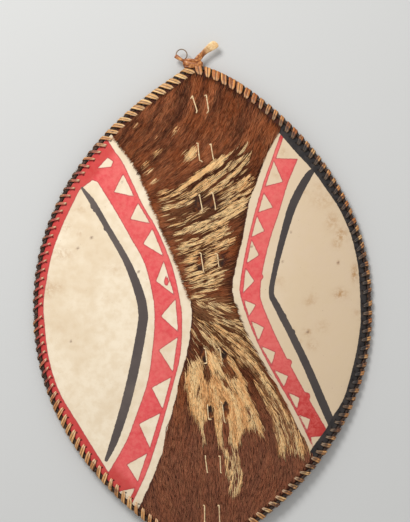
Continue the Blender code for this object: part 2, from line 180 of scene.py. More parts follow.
# Distance inside a brush stroke whose half width changes along it
def depthInStroke(x, y, line, halfWidths):
    deepest = np.full(x.shape, -np.inf)
    for start, end, startHalf, endHalf in zip(line, line[1:], halfWidths, halfWidths[1:]):
        edge = end - start
        share = ((x - start[0]) * edge[0] + (y - start[1]) * edge[1]) / max(edge @ edge, 1e-9)
        share = np.clip(share, 0, 1)
        away = np.hypot(x - start[0] - share * edge[0], y - start[1] - share * edge[1])
        deepest = np.maximum(deepest, startHalf + (endHalf - startHalf) * share - away)
    return deepest


def makePiece(name, points, faces, material, replaced=()):
    mesh = bpy.data.meshes.new(name)
    faces = faces.tolist() if isinstance(faces, np.ndarray) else faces
    mesh.from_pydata((np.asarray(points) + shieldMiddle).tolist(), [], faces)
    mesh.update()
    mesh.shade_smooth()
    piece = bpy.data.objects.new(name, mesh)
    bpy.context.scene.collection.objects.link(piece)
    mesh.materials.append(material)
    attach(piece, "root")
    if replaced:
        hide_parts(*replaced)
    return piece


def addAttribute(piece, name, values):
    attribute = piece.data.attributes.new(name, "FLOAT", "POINT")
    attribute.data.foreach_set("value", np.asarray(values, np.float32))


# Faces over rings of points, with caps unless the last ring joins the first
def tubeFaces(stations, corners, closed=False, first=0):
    station = np.arange(stations if closed else stations - 1)[:, None]
    corner = np.arange(corners)[None, :]
    following = (station + 1) % stations
    beside = (corner + 1) % corners
    quads = np.stack([
        station * corners + corner,
        station * corners + beside,
        following * corners + beside,
        following * corners + corner,
    ], -1).reshape(-1, 4) + first
    faces = quads.tolist()
    if not closed:
        faces.append([first + index for index in range(corners)][::-1])
        faces.append([first + (stations - 1) * corners + index for index in range(corners)])
    return faces


def setNormalsOut(piece):
    form = bmesh.new()
    form.from_mesh(piece.data)
    bmesh.ops.recalc_face_normals(form, faces=form.faces)
    form.to_mesh(piece.data)
    form.free()


# One piece skinned over rings of points: rings is (stations, corners, 3)
def makeTube(name, rings, material, replaced=(), closed=False):
    faces = tubeFaces(len(rings), rings.shape[1], closed)
    piece = makePiece(name, rings.reshape(-1, 3), faces, material, replaced)
    setNormalsOut(piece)
    return piece


# Rings across a line, each of their points so far to its side and so far up
def ringsAcross(line, side, up, wide, tall):
    return line[:, None] + side * wide[..., None] + up * tall[..., None]


def newMaterial(name, roughness):
    material = bpy.data.materials.new(name)
    material.use_nodes = True
    tree = material.node_tree
    shader = tree.nodes["Principled BSDF"]
    shader.inputs["Roughness"].default_value = roughness
    return material, tree, shader


def srgb(red, green, blue):
    channels = []
    for value in (red / 255, green / 255, blue / 255):
        channels.append(value / 12.92 if value <= 0.04045 else ((value + 0.055) / 1.055) ** 2.4)
    return (*channels, 1.0)


def attributeNode(tree, name):
    node = tree.nodes.new("ShaderNodeAttribute")
    node.attribute_type = "GEOMETRY"
    node.attribute_name = name
    return node.outputs["Fac"]


# Object x and y as sockets
def placeNode(tree):
    node = tree.nodes.new("ShaderNodeSeparateXYZ")
    tree.links.new(tree.nodes.new("ShaderNodeTexCoord").outputs["Object"], node.inputs["Vector"])
    return node.outputs["X"], node.outputs["Y"]


def noiseNode(tree, scale, detail=3.0, stretch=None, roughness=0.55):
    place = tree.nodes.new("ShaderNodeTexCoord").outputs["Object"]
    if stretch:
        mapping = tree.nodes.new("ShaderNodeMapping")
        mapping.inputs["Scale"].default_value = stretch
        tree.links.new(place, mapping.inputs["Vector"])
        place = mapping.outputs["Vector"]
    node = tree.nodes.new("ShaderNodeTexNoise")
    node.inputs["Scale"].default_value = scale
    node.inputs["Detail"].default_value = detail
    node.inputs["Roughness"].default_value = roughness
    tree.links.new(place, node.inputs["Vector"])
    return node.outputs["Fac"]


def mathNode(tree, operation, first, second):
    node = tree.nodes.new("ShaderNodeMath")
    node.operation = operation
    for socket, value in zip(node.inputs, (first, second)):
        if isinstance(value, (int, float)):
            socket.default_value = value
        else:
            tree.links.new(value, socket)
    return node.outputs[0]


def timesNode(tree, first, second):
    return mathNode(tree, "MULTIPLY", first, second)


def rangeNode(tree, value, low, high, toLow=0.0, toHigh=1.0):
    node = tree.nodes.new("ShaderNodeMapRange")
    node.interpolation_type = "SMOOTHSTEP"
    node.inputs["From Min"].default_value = low
    node.inputs["From Max"].default_value = high
    node.inputs["To Min"].default_value = toLow
    node.inputs["To Max"].default_value = toHigh
    tree.links.new(value, node.inputs["Value"])
    return node.outputs["Result"]


def mixNode(tree, share, first, second):
    node = tree.nodes.new("ShaderNodeMix")
    node.data_type = "RGBA"
    for socket, value in ((node.inputs[0], share), (node.inputs[6], first), (node.inputs[7], second)):
        if isinstance(value, (int, float, tuple)):
            socket.default_value = value
        else:
            tree.links.new(value, socket)
    return node.outputs[2]


def rampNode(tree, value, stops):
    node = tree.nodes.new("ShaderNodeValToRGB")
    ramp = node.color_ramp
    while len(ramp.elements) < len(stops):
        ramp.elements.new(0.5)
    for element, (place, colour) in zip(ramp.elements, stops):
        element.position = place
        element.color = colour
    tree.links.new(value, node.inputs["Fac"])
    return node.outputs["Color"]


# Lays colours over one another, each with its share
def layered(tree, colour, layers):
    for share, above in layers:
        colour = mixNode(tree, share, colour, above)
    return colour


def bumpNode(tree, shader, height, strength, distance):
    node = tree.nodes.new("ShaderNodeBump")
    node.inputs["Strength"].default_value = strength
    node.inputs["Distance"].default_value = distance
    tree.links.new(height, node.inputs["Height"])
    tree.links.new(node.outputs["Normal"], shader.inputs["Normal"])


# The painted figures, in plan millimetres
paint = {
    "furLeft": [(-190, 346), (-147, 298), (-116, 250), (-92, 192), (-71, 140), (-45, 81), (-24, 20),
                (-21, -17), (-28, -75), (-45, -140), (-60, -205), (-75, -263), (-94, -319), (-135, -400)],
    "furRight": [(152, 354), (120, 292), (99, 233), (86, 198), (74, 129), (60, 72), (57, 42), (59, 24),
                 (74, -34), (103, -90), (142, -153), (176, -215), (226, -310)],
    "furBelow": [(-100, -480), (260, -480)],
    "furAbove": [(60, 480), (-150, 480)],
    "leftLineEdge": [(-185, 328), (-166, 298), (-146, 268), (-112, 196), (-84, 148), (-56, 79), (-42, 18),
                     (-38, -17), (-41, -82), (-56, -145), (-77, -220), (-104, -303), (-140, -380)],
    "leftFieldInner": [(-196, 238), (-163, 185), (-133, 133), (-107, 85), (-93, 31), (-89, -2), (-90, -49),
                       (-101, -130), (-120, -188), (-142, -246), (-176, -306)],
    "leftFieldOuter": [(-231, 223), (-265, 152), (-285, 94), (-298, 19), (-297, -24), (-289, -92),
                       (-268, -157), (-231, -218), (-190, -284)],
    "leftTongue": (-206, 242),
    "leftStroke": [(-226, 227), (-205, 199), (-176, 150), (-141, 90), (-118, 33), (-110, -6), (-113, -38),
                   (-127, -112), (-145, -184), (-165, -246), (-180, -282)],
    "leftStrokeWidths": [5, 11, 11, 13, 17, 18, 18, 18, 17.5, 14, 7],
    "leftTeeth": [
        [(-177, 284), (-167, 276), (-171, 266), (-196, 264)],
        [(-148, 253), (-127, 210), (-165, 219)],
        [(-120, 198), (-97, 160), (-134, 168)],
        [(-93, 150), (-72, 99), (-110, 122)],
        [(-72, 90), (-52, 27), (-86, 53)],
        [(-50, 20), (-45, -41), (-77, -12)],
        [(-46, -51), (-55, -115), (-81, -75)],
        [(-58, -125), (-74, -185), (-94, -145)],
        [(-78, -192), (-98, -258), (-118, -213)],
        [(-103, -268), (-121, -322), (-141, -290)],
        [(-126, -334), (-140, -364), (-158, -342)],
    ],
    "redSpot": [(-68, 63), (-63, 54), (-66, 44), (-71, 51)],
    "rightLineEdge": [(147, 330), (130, 282), (113, 234), (92, 161), (78, 98), (70, 49), (70, 29), (84, -17),
                      (106, -69), (139, -131), (174, -191), (214, -275)],
    "rightBandOuter": [(178, 281), (158, 232), (143, 183), (125, 129), (112, 75), (107, 33), (112, 7),
                       (135, -47), (162, -101), (192, -156), (236, -232)],
    "rightTopLine": [(147, 330), (130, 282), (137, 282), (154, 330)],
    "rightTeeth": [
        [(133, 277), (150, 238), (117, 229)],
        [(114, 217), (131, 190), (104, 181)],
        [(101, 174), (115, 146), (91, 135)],
        [(91, 129), (105, 101), (82, 86)],
        [(80, 77), (96, 53), (75, 31)],
        [(77, 18), (99, 9), (86, -12)],
        [(90, -21), (114, -33), (104, -58)],
        [(108, -67), (135, -79), (129, -103)],
        [(133, -112), (159, -124), (152, -144)],
        [(159, -154), (181, -165), (176, -186)],
        [(180, -197), (201, -205), (196, -227)],
        [(202, -239), (224, -238), (208, -259)],
    ],
    "rightStroke": [(209, 262), (195, 245), (169, 196), (150, 135), (135, 75), (128, 31), (139, 5),
                    (165, -45), (192, -100), (220, -164), (241, -212)],
    "rightStrokeWidths": [8, 14, 15.5, 12.5, 10, 10, 12.5, 13.5, 14.5, 15.5, 15],
    "blackInner": [(140, 334), (171, 298), (207, 259), (233, 223), (254, 193), (270, 160), (282, 128),
                   (293, 71), (297, -15), (293, -55), (286, -94), (266, -165), (245, -200), (231, -225),
                   (206, -259), (197, -279)],
    "blackOuter": [(190, -330), (420, -330), (420, 370), (140, 370)],
    "leftOuter": [(-420, -450), (-420, 400), (-185, 400)],
    "strokeBumps": [(-204, 192, 5.6), (-200, 186, 5.0), (-180, 151, 4.8), (150, -12, 6.0), (167, -42, 5.6)],
    "redBumps": [(106, 61, 6.5), (159, -99, 7.0), (193, -163, 8.0)],
    "furRagged": 2.6,
}
# Brown stains and dark specks on the bare hide: middle, half sizes and strength
stains = [
    (227, 204, 22, 15, 0.35), (243, 164, 12, 17, 0.45), (260, 139, 10, 13, 0.75), (252, 123, 9, 9, 0.5),
    (285, 67, 6, 15, 0.95), (258, 29, 12, 9, 0.8), (254, 87, 2.5, 4, 0.6), (192, 219, 8, 4, 0.3),
    (216, 229, 10, 6, 0.25), (289, -8, 8, 8, 0.3), (196, 14, 9, 8, 0.35),
    (196, -42, 9, 8, 0.5), (204, -66, 10, 9, 0.45), (169, -38, 5, 5, 0.25), (183, -58, 4, 4, 0.35),
    (224, -32, 12, 10, 0.3), (-258, 153, 15, 8, 0.4), (-264, 104, 20, 12, 0.4), (-287, 37, 9, 14, 0.5),
    (-272, 41, 12, 8, 0.35), (-229, 143, 7, 8, 0.3), (-230, 187, 14, 10, 0.25), (-161, 76, 18, 12, 0.2),
    (151, 293, 8, 8, 0.35), (137, 251, 8, 9, 0.25),
]
specks = [
    (-207, 134, 2.6), (-233, 114, 2.4), (-184, 168, 1.8), (-119, 70, 2.4), (-97, 195, 2.6), (-118, 71, 2.0),
    (91, 117, 2.2), (149, 89, 1.8), (-150, 237, 1.6), (196, -42, 2.4), (165, 144, 1.8), (-246, -60, 2.2),
    (254, 87, 2.2),
]


def raggedness(x, y):
    coarse = softNoise(x, y, 19.0, 79) + 0.7 * softNoise(x, y, 7.5, 77)
    return paint["furRagged"] * (coarse + 0.5 * softNoise(x, y, 2.6, 78) - 1.1)


def stainedness(x, y):
    stain = np.zeros(x.shape)
    for spotX, spotY, halfX, halfY, strength in stains:
        stain = np.maximum(stain, strength * np.exp(-((x - spotX) / halfX) ** 2 - ((y - spotY) / halfY) ** 2))
    speck = np.zeros(x.shape)
    for spotX, spotY, radius in specks:
        speck = np.maximum(speck, np.clip(1.4 - np.hypot(x - spotX, y - spotY) / radius, 0, 1))
    return stain, speck


def furOutline(steps):
    left = smoothLine(paint["furLeft"], steps)
    right = smoothLine(paint["furRight"], steps)
    return np.concatenate([left, paint["furBelow"], right[::-1], paint["furAbove"]])


def withBumps(field, x, y, bumps):
    for bumpX, bumpY, radius in bumps:
        field = np.maximum(field, radius - np.hypot(x - bumpX, y - bumpY))
    return field


def paintDepths(x, y):
    fur = depthInside(x, y, furOutline(6)) + raggedness(x, y)

    leftPanel = np.concatenate([smoothLine(paint["leftLineEdge"]), paint["leftOuter"]])
    leftField = np.concatenate([smoothLine(paint["leftFieldOuter"])[::-1], [paint["leftTongue"]],
                                smoothLine(paint["leftFieldInner"])])
    red = np.minimum(depthInside(x, y, leftPanel), -depthInside(x, y, leftField))
    for tooth in paint["leftTeeth"]:
        red = np.minimum(red, -depthInside(x, y, np.array(tooth, float)))
    red = np.maximum(red, depthInside(x, y, smoothLine(paint["redSpot"] + paint["redSpot"][:1])))

    band = np.concatenate([smoothLine(paint["rightLineEdge"])[6:], smoothLine(paint["rightBandOuter"])[::-1]])
    rightRed = depthInside(x, y, band)
    for tooth in paint["rightTeeth"]:
        rightRed = np.minimum(rightRed, -depthInside(x, y, np.array(tooth, float)))
    rightRed = np.maximum(rightRed, depthInside(x, y, np.array(paint["rightTopLine"], float)))
    red = withBumps(np.maximum(red, rightRed), x, y, paint["redBumps"])

    grey = np.full(x.shape, -99.0)
    for side in ("left", "right"):
        line = smoothLine(paint[side + "Stroke"])
        widths = smoothLine([(width, 0) for width in paint[side + "StrokeWidths"]])[:, 0]
        grey = np.maximum(grey, depthInStroke(x, y, line, widths / 2))
    grey = withBumps(grey, x, y, paint["strokeBumps"])
    border = np.concatenate([smoothLine(paint["blackInner"]), paint["blackOuter"]])
    black = depthInside(x, y, border)
    return fur, red, grey, black


hideForm = {
    "rows": 340,
    "columns": 244,
    "undersideStep": 4,
    "tipInset": 0.0006,
    "wave": 0.0007,
    "grain": 0.00012,
    "pucker": 0.0009,
    "puckerReach": 0.007,
}


def hideOutline():
    runs = np.linspace(0, rimTotal / 2, 1200)
    left = rimPoint(runs, shield["edgeReach"], 0.0)
    right = rimPoint(rimTotal - runs, shield["edgeReach"], 0.0)
    return left[::-1], right[::-1]


def sheetFaces(rows, columns, first=0):
    corner = first + np.arange(rows - 1)[:, None] * columns + np.arange(columns - 1)[None, :]
    corner = corner.ravel()
    return np.stack([corner, corner + 1, corner + columns + 1, corner + columns], -1)


# The edge joins the fine upper sheet to the coarser underside
def edgeWall(rows, columns, step, first, underColumns):
    fineEdge = [(0, index) for index in range(columns - 1)]
    fineEdge += [(index, columns - 1) for index in range(rows - 1)]
    fineEdge += [(rows - 1, index) for index in range(columns - 1, 0, -1)]
    fineEdge += [(index, 0) for index in range(rows - 1, 0, -1)]
    fine = [atRow * columns + atColumn for atRow, atColumn in fineEdge]
    coarse = [first + atRow // step * underColumns + atColumn // step for atRow, atColumn in fineEdge[::step]]
    wall = []
    for index, here in enumerate(coarse):
        ahead = coarse[(index + 1) % len(coarse)]
        for inner in range(step):
            start = fine[index * step + inner]
            end = fine[(index * step + inner + 1) % len(fine)]
            wall.append([here if inner < step // 2 else ahead, end, start])
        wall.append([here, ahead, fine[index * step + step // 2]])
    return wall


def makeHide(painted, raw):
    left, right = hideOutline()
    low = max(left[:, 1].min(), right[:, 1].min()) + hideForm["tipInset"]
    high = min(left[:, 1].max(), right[:, 1].max()) - hideForm["tipInset"]
    rows = hideForm["rows"] + 1
    columns = hideForm["columns"] + 1
    y = np.linspace(low, high, rows)[:, None] * np.ones(columns)
    share = np.linspace(0, 1, columns)[None, :]
    leftX = np.interp(y[:, 0], left[:, 1], left[:, 0])[:, None]
    rightX = np.interp(y[:, 0], right[:, 1], right[:, 0])[:, None]
    x = leftX + (rightX - leftX) * share

    slits = rimPoint(np.concatenate([runs[:-1] for runs in laceRuns.values()]), lacing["slitOut"], 0.0)
    away = np.full(x.shape, 1.0)
    for slit in slits:
        away = np.minimum(away, np.hypot(x - slit[0], y - slit[1]))
    height = hideForm["wave"] * (softNoise(x, y, 0.055, 3) - 0.5)
    height += hideForm["grain"] * (softNoise(x, y, 0.006, 4) - 0.5)
    height -= hideForm["pucker"] * np.exp(-(away / hideForm["puckerReach"]) ** 2)
    top = surfacePoint(x, y, height)
    step = hideForm["undersideStep"]
    underX = x[::step, ::step]
    underY = y[::step, ::step]
    under = surfacePoint(underX, underY, np.full(underX.shape, -2 * shield["halfThickness"]))

    underRows, underColumns = underX.shape
    first = rows * columns
    quads = sheetFaces(rows, columns)
    below = np.roll(sheetFaces(underRows, underColumns, first)[:, ::-1], 1, axis=1)
    wall = edgeWall(rows, columns, step, first, underColumns)
    points = np.concatenate([top.reshape(-1, 3), under.reshape(-1, 3)])
    faces = quads.tolist() + below.tolist() + wall
    hide = makePiece("painted_hide", points, faces, painted, ["hide"])
    hide.data.materials.append(raw)
    surface = np.zeros(len(faces), np.int32)
    surface[len(quads):] = 1
    hide.data.polygons.foreach_set("material_index", surface)

    planX = points[:, 0] / mm
    planY = points[:, 1] / mm
    for name, depth in zip(("furDepth", "redDepth", "greyDepth", "blackDepth"), paintDepths(planX, planY)):
        addAttribute(hide, name, depth)
    aside = np.concatenate([away.ravel(), np.ones(underX.size)])
    addAttribute(hide, "slitAway", aside / mm)
    addAttribute(hide, "bare", inHollow(planX, planY))
    stain, speck = stainedness(planX, planY)
    addAttribute(hide, "blond", blondShare(planX, planY)[0])
    addAttribute(hide, "stain", stain)
    addAttribute(hide, "speck", speck)
    print("hide:", len(faces), "faces")


hideLooks = {
    "cream": srgb(240, 224, 198),
    "creamTan": srgb(218, 194, 160),
    # creamShadedRight: the cream darker and greyer towards the right, painted shade where less light falls
    "creamShadedRight": srgb(218, 194, 164),
    "stain": srgb(172, 122, 66),
    "red": srgb(224, 80, 84),
    "redDeep": srgb(186, 52, 46),
    "redWorn": srgb(230, 108, 104),
    "redPale": srgb(236, 128, 118),
    "grey": srgb(84, 75, 72),
    "greyWorn": srgb(118, 106, 98),
    "black": srgb(48, 45, 45),
    "skin": srgb(74, 38, 26),
    "skinPale": srgb(206, 152, 96),
    "outline": srgb(112, 78, 66),
    "redLine": srgb(166, 58, 66),
    # hole: painted shade, a dark spot standing in for the shadowed slit where each thong goes in
    "hole": srgb(30, 18, 12),
    # hollowShade: painted shade of the hollows in the hair beside the stitches
    "hollowShade": srgb(44, 28, 20),
    "hollowWarm": srgb(136, 74, 34),
    "raw": srgb(196, 160, 112),
    "rawTan": srgb(150, 110, 70),
    "vein": srgb(112, 74, 44),
}


def paintedHide():
    material, tree, shader = newMaterial("painted hide", 0.82)
    looks = hideLooks
    placeX, placeY = placeNode(tree)
    # across runs from the left side to the right; it paints shade on the cream's right side and darkens the
    # grey stroke towards the right
    across = rangeNode(tree, placeX, -0.12, 0.24)
    broad = rangeNode(tree, noiseNode(tree, 9.0, 4.0), 0.38, 0.68)
    fine = rangeNode(tree, noiseNode(tree, 70.0, 4.0), 0.35, 0.70)
    # painted shade: the cream darker on its right side
    cream = mixNode(tree, across, looks["cream"], looks["creamShadedRight"])
    blot = rangeNode(tree, noiseNode(tree, 16.0, 5.0, roughness=0.65), 0.60, 0.76)
    rightward = rangeNode(tree, placeX, 0.0, 0.30, 0.10, 0.40)
    mottled = rangeNode(tree, noiseNode(tree, 120.0, 5.0, roughness=0.7), 0.36, 0.62)
    speck = rangeNode(tree, noiseNode(tree, 260.0, 1.0), 0.76, 0.82)
    cream = layered(tree, cream, [
        (timesNode(tree, broad, 0.55), looks["creamTan"]),
        (timesNode(tree, fine, 0.42), looks["creamTan"]),
        (timesNode(tree, blot, rightward), looks["stain"]),
        (timesNode(tree, attributeNode(tree, "stain"), mottled), looks["stain"]),
        (timesNode(tree, speck, 0.5), looks["outline"]),
        (timesNode(tree, attributeNode(tree, "speck"), 0.75), looks["outline"]),
    ])

    wobble = timesNode(tree, mathNode(tree, "SUBTRACT", noiseNode(tree, 180.0, 3.0), 0.5), 2.2)
    red, grey, black = [mathNode(tree, "ADD", attributeNode(tree, name), wobble)
                        for name in ("redDepth", "greyDepth", "blackDepth")]
    redColour = mixNode(tree, broad, looks["red"], looks["redWorn"])
    lowRight = timesNode(tree, rangeNode(tree, placeX, 0.02, 0.2), rangeNode(tree, placeY, 0.0, -0.28))
    rimward = rangeNode(tree, attributeNode(tree, "slitAway"), 12.0, 30.0, 0.65, 0.0)
    redColour = layered(tree, redColour, [
        (lowRight, looks["redDeep"]),
        (timesNode(tree, fine, 0.25), looks["redDeep"]),
        (timesNode(tree, mottled, 0.38), looks["redPale"]),
        (rimward, looks["redDeep"]),
    ])
    greyColour = mixNode(tree, timesNode(tree, broad, 0.5), looks["grey"], looks["greyWorn"])
    greyColour = mixNode(tree, timesNode(tree, across, 0.55), greyColour, looks["black"])
    blackColour = mixNode(tree, timesNode(tree, fine, 0.18), looks["black"], looks["greyWorn"])

    fromEdge = mathNode(tree, "ABSOLUTE", mathNode(tree, "SUBTRACT", red, 0.3), 0.0)
    edge = rangeNode(tree, fromEdge, 0.3, 1.5, 0.62, 0.0)
    palely = rangeNode(tree, attributeNode(tree, "blond"), 0.30, 0.92)
    skin = mixNode(tree, palely, looks["skin"], looks["skinPale"])
    # The bare hollows: painted shade mixed by noise with the hide's own warm brown
    hollow = mixNode(tree, rangeNode(tree, noiseNode(tree, 34.0, 3.0), 0.42, 0.62), looks["hollowShade"],
                     looks["hollowWarm"])
    colour = layered(tree, cream, [
        (rangeNode(tree, red, -0.4, 0.4), redColour),
        (edge, looks["redLine"]),
        (rangeNode(tree, grey, -0.4, 0.4), greyColour),
        (rangeNode(tree, black, -0.4, 0.4), blackColour),
        (rangeNode(tree, attributeNode(tree, "furDepth"), -0.6, 0.8), skin),
        (attributeNode(tree, "bare"), hollow),
        # painted shade: a dark spot at each slit, for the shadow inside it
        (rangeNode(tree, attributeNode(tree, "slitAway"), 1.2, 2.8, 0.9, 0.0), looks["hole"]),
    ])
    tree.links.new(colour, shader.inputs["Base Color"])
    shader.inputs["Specular IOR Level"].default_value = 0.25
    bumpNode(tree, shader, noiseNode(tree, 420.0, 5.0), 0.35, 0.0006)
    return material


def rawHide():
    material, tree, shader = newMaterial("raw hide", 0.7)
    broad = rangeNode(tree, noiseNode(tree, 7.0, 5.0), 0.3, 0.7)
    colour = mixNode(tree, broad, hideLooks["raw"], hideLooks["rawTan"])
    vein = rangeNode(tree, noiseNode(tree, 34.0, 6.0, roughness=0.7), 0.50, 0.72)
    colour = mixNode(tree, timesNode(tree, vein, 0.6), colour, hideLooks["vein"])
    tree.links.new(colour, shader.inputs["Base Color"])
    bumpNode(tree, shader, noiseNode(tree, 160.0, 6.0), 0.5, 0.001)
    return material


# Hair: which way it lies (x, y, then its direction), above and below the parting at the waist
furForm = {
    "flowAbove": [
        (-5, 400, -0.25, -0.97), (60, 360, -0.32, -0.95), (-80, 350, -0.50, -0.86), (110, 310, -0.34, -0.94),
        (-140, 310, -0.62, -0.78), (-95, 300, -0.74, -0.67), (0, 320, -0.50, -0.86), (70, 270, -0.74, -0.67),
        (0, 270, -0.80, -0.60), (50, 205, -0.86, -0.51), (-5, 170, -0.88, -0.47), (50, 130, -0.90, -0.44),
        (20, 75, -0.93, -0.36), (-70, 175, -0.96, -0.28), (-42, 90, -0.97, -0.24), (60, 33, -0.98, -0.15),
        (-14, 20, -0.98, -0.20),
    ],
    "flowBelow": [
        (66, -4, 0.98, -0.18), (42, -15, 0.93, -0.36), (-5, -5, 0.88, -0.47), (-18, -30, 0.45, -0.90),
        (-5, -23, 0.78, -0.62), (50, -45, 0.84, -0.54), (15, -60, 0.55, -0.83), (85, -75, 0.74, -0.67),
        (115, -110, 0.62, -0.78), (60, -130, 0.48, -0.88), (-15, -130, 0.02, -1.0), (125, -170, 0.50, -0.87),
        (150, -230, 0.28, -0.96), (50, -225, 0.08, -1.0), (-35, -225, -0.12, -0.99), (180, -250, 0.20, -0.98),
        (0, -350, 0.0, -1.0), (-80, -330, 0.25, -0.97), (110, -330, -0.25, -0.97), (0, -430, 0.0, -1.0),
    ],
    "parting": [(-27, 22), (23, 16), (81, 11)],
    "gridX": (-230, 240),
    "gridY": (-450, 450),
    "lockPitch": 4.3,
    "lockJitter": 0.45,
    "lockTurn": 0.06,
    "strands": 5,
    "strandTurn": 0.035,
    "rootAlong": (-7, 4),  # how far from their lock's middle the strands grow
    "rootAside": (-2.0, 2.0),
    "reachShares": (0.7, 1.1),
    "gatherShares": (0.3, 1.0),
    "curl": 0.06,
    "length": (19, 33),
    "halfWidth": (0.32, 0.60),
    "lift": (0.6, 2.2),
    "overhang": 4.0,
    "rimMargin": 1.0,
    "shortest": 5,
    "hollowCut": 0.992,  # share of the hair cut away in the hollows
    "streak": (2.9, 34.0),  # width and length of the pale streaks
    "shadeStreak": (9.0, 60.0),
    "thinned": 0.72,  # how much of their share is kept where brown and pale mix
    "gather": (0.0, 0.12, 0.32, 0.50),
    "rise": (0.05, 0.70, 1.0, 0.85),
    "kept": (0.94, 0.68),  # share of the strands grown above and below the last split
    "splits": (262, 118, -62, -190),
    "names": ("fur_crown", "fur_shoulder", "fur_waist", "fur_lower", "fur_tail"),
}

# Each patch: outline in plan millimetres, the share of blond locks in it, and how golden the
# brown ones are; later patches lie over earlier ones
blondPatches = [
    ([(89, 297), (48, 283), (8, 250), (-24, 228), (-52, 214), (-77, 208), (-77, 196), (95, 196), (101, 228),
      (89, 248)], 0.26, 0.0),
    ([(81, 312), (71, 307), (56, 293), (28, 275), (48, 281), (66, 289), (83, 299)], 0.34, 0.0),
    ([(49, 289), (34, 283), (18, 273), (0, 262), (-16, 250), (-32, 234), (-57, 217), (-44, 220), (-24, 232),
      (-4, 244), (16, 256), (32, 269), (48, 285)], 0.99, 0.0),
    ([(-30, 285), (-32, 289), (-24, 297), (-16, 298), (-14, 285), (-20, 277)], 0.95, 0.0),
    ([(-74, 210), (-78, 186), (-56, 156), (-40, 109), (-16, 81), (-16, 41), (-2, 31), (26, 35), (36, 51),
      (42, 81), (47, 109), (59, 127), (53, 156), (75, 176), (93, 210), (97, 234), (-74, 220)], 0.27, 0.1),
    ([(-40, 113), (-22, 117), (6, 135), (47, 156), (39, 166), (6, 155), (-22, 135)], 0.62, 0.0),
    ([(-50, 137), (-34, 141), (6, 162), (47, 182), (87, 210), (75, 214), (39, 190), (-6, 170), (-46, 145)],
     0.42, 0.0),
    ([(-30, 101), (-12, 109), (-10, 81), (-6, 69), (18, 81), (24, 101), (10, 103), (-6, 61), (-22, 47)],
     0.66, 0.0),
    ([(32, 186), (53, 210), (93, 222), (83, 198), (59, 174), (34, 174)], 0.56, 0.0),
    ([(41, 162), (83, 176), (79, 156), (75, 133), (55, 141)], 0.04, 0.0),
    ([(34, 109), (73, 125), (67, 93), (59, 69), (38, 77)], 0.04, 0.0),
    ([(26, 41), (46, 61), (59, 63), (65, 45), (46, 29), (32, 31)], 0.05, 0.0),
    ([(-22, 33), (59, 20), (76, -40), (42, -42), (6, -36), (-22, -40)], 0.14, 0.12),
    ([(-20, -19), (74, -19), (88, -49), (102, -86), (62, -110), (-18, -109), (-22, -59)], 0.34, 0.15),
    ([(62, -85), (98, -86), (122, -132), (159, -187), (188, -243), (203, -270), (139, -269), (135, -234),
      (123, -197), (108, -156), (92, -132), (74, -104)], 0.26, 0.35),
    ([(-8, -90), (8, -80), (30, -78), (50, -86), (62, -106), (76, -124), (88, -148), (94, -168),
      (102, -191), (112, -213), (113, -227), (109, -234), (100, -221), (92, -218), (80, -223), (70, -233),
      (67, -249), (66, -267), (59, -260), (51, -245), (50, -229), (48, -213), (34, -200), (37, -237),
      (37, -254), (30, -254), (28, -233), (22, -200), (2, -204), (2, -223), (4, -254), (2, -239),
      (-3, -223), (-10, -204), (-18, -190), (-25, -190), (-27, -158), (-33, -138), (-30, -115), (-16, -93)],
     0.94, 0.1),
    ([(-24, -30), (-6, -34), (0, -52), (0, -74), (-10, -92), (-20, -104), (-34, -116), (-30, -70)],
     0.13, 0.0),
    ([(-2, -99), (13, -101), (16, -120), (11, -135), (3, -120)], 0.04, 0.1),
    ([(30, -97), (47, -97), (67, -128), (51, -133), (38, -115)], 0.08, 0.1),
    ([(65, -101), (82, -105), (104, -132), (90, -136), (74, -119)], 0.03, 0.0),
    ([(80, -131), (96, -138), (111, -158), (120, -180), (129, -200), (130, -226), (120, -235), (109, -211),
      (99, -187), (88, -164), (82, -150)], 0.04, 0.0),
    ([(20, -112), (25, -114), (43, -132), (62, -151), (60, -156), (39, -138)], 0.12, 0.1),
    ([(79, -175), (84, -176), (98, -212), (94, -215)], 0.12, 0.1),
    ([(-8, -140), (-5, -140), (-6, -162), (-9, -160)], 0.15, 0.3),
    ([(139, -234), (153, -234), (153, -273), (145, -269)], 0.85, 0.2),
    ([(172, -241), (186, -239), (188, -259), (182, -274), (172, -263)], 0.85, 0.2),
    ([(-79, -265), (-59, -192), (-47, -148), (-33, -140), (-27, -160), (-24, -190), (-10, -206), (2, -241),
      (4, -282), (-79, -303)], 0.0, 0.0),
    ([(40, -262), (70, -262), (74, -330), (58, -352), (44, -300)], 0.55, 0.0),
]
# Bare hollows beside the stitches, where the hair was cut away: middle and half sizes
hollows = [
    (-10, 197, 5.0, 15), (18, 200, 5.0, 13), (-5, 87, 5.5, 15), (33, 90, 5.0, 12), (4, -88, 5.0, 14),
    (40, -87, 6.0, 12), (15, -189, 7.0, 12), (43, -185, 6.0, 16),
]
blondFlecks = [
    (-50, 335, 4, 2.5), (-83, 292, 5, 3), (-104, 271, 4, 3), (-97, 259, 3, 2), (-87, 238, 4, 3),
    (-90, 317, 2, 2), (-73, 218, 6, 4), (-125, 341, 3, 2),
]


def flowOf(guides, x, y):
    flowX = np.zeros(x.shape)
    flowY = np.zeros(x.shape)
    for guideX, guideY, towardsX, towardsY in guides:
        weight = ((x - guideX) ** 2 + (y - guideY) ** 2 + 150) ** -1.6
        flowX += weight * towardsX
        flowY += weight * towardsY
    length = np.maximum(np.hypot(flowX, flowY), 1e-9)
    return flowX / length, flowY / length


def hairFlow(x, y, above):
    upperX, upperY = flowOf(furForm["flowAbove"], x, y)
    lowerX, lowerY = flowOf(furForm["flowBelow"], x, y)
    return np.where(above, upperX, lowerX), np.where(above, upperY, lowerY)


def abovePartingAt(x, y):
    parting = np.array(furForm["parting"], float)
    return y > np.interp(x, parting[:, 0], parting[:, 1]) + 6 * (softNoise(x, y, 9.0, 15) - 0.5)


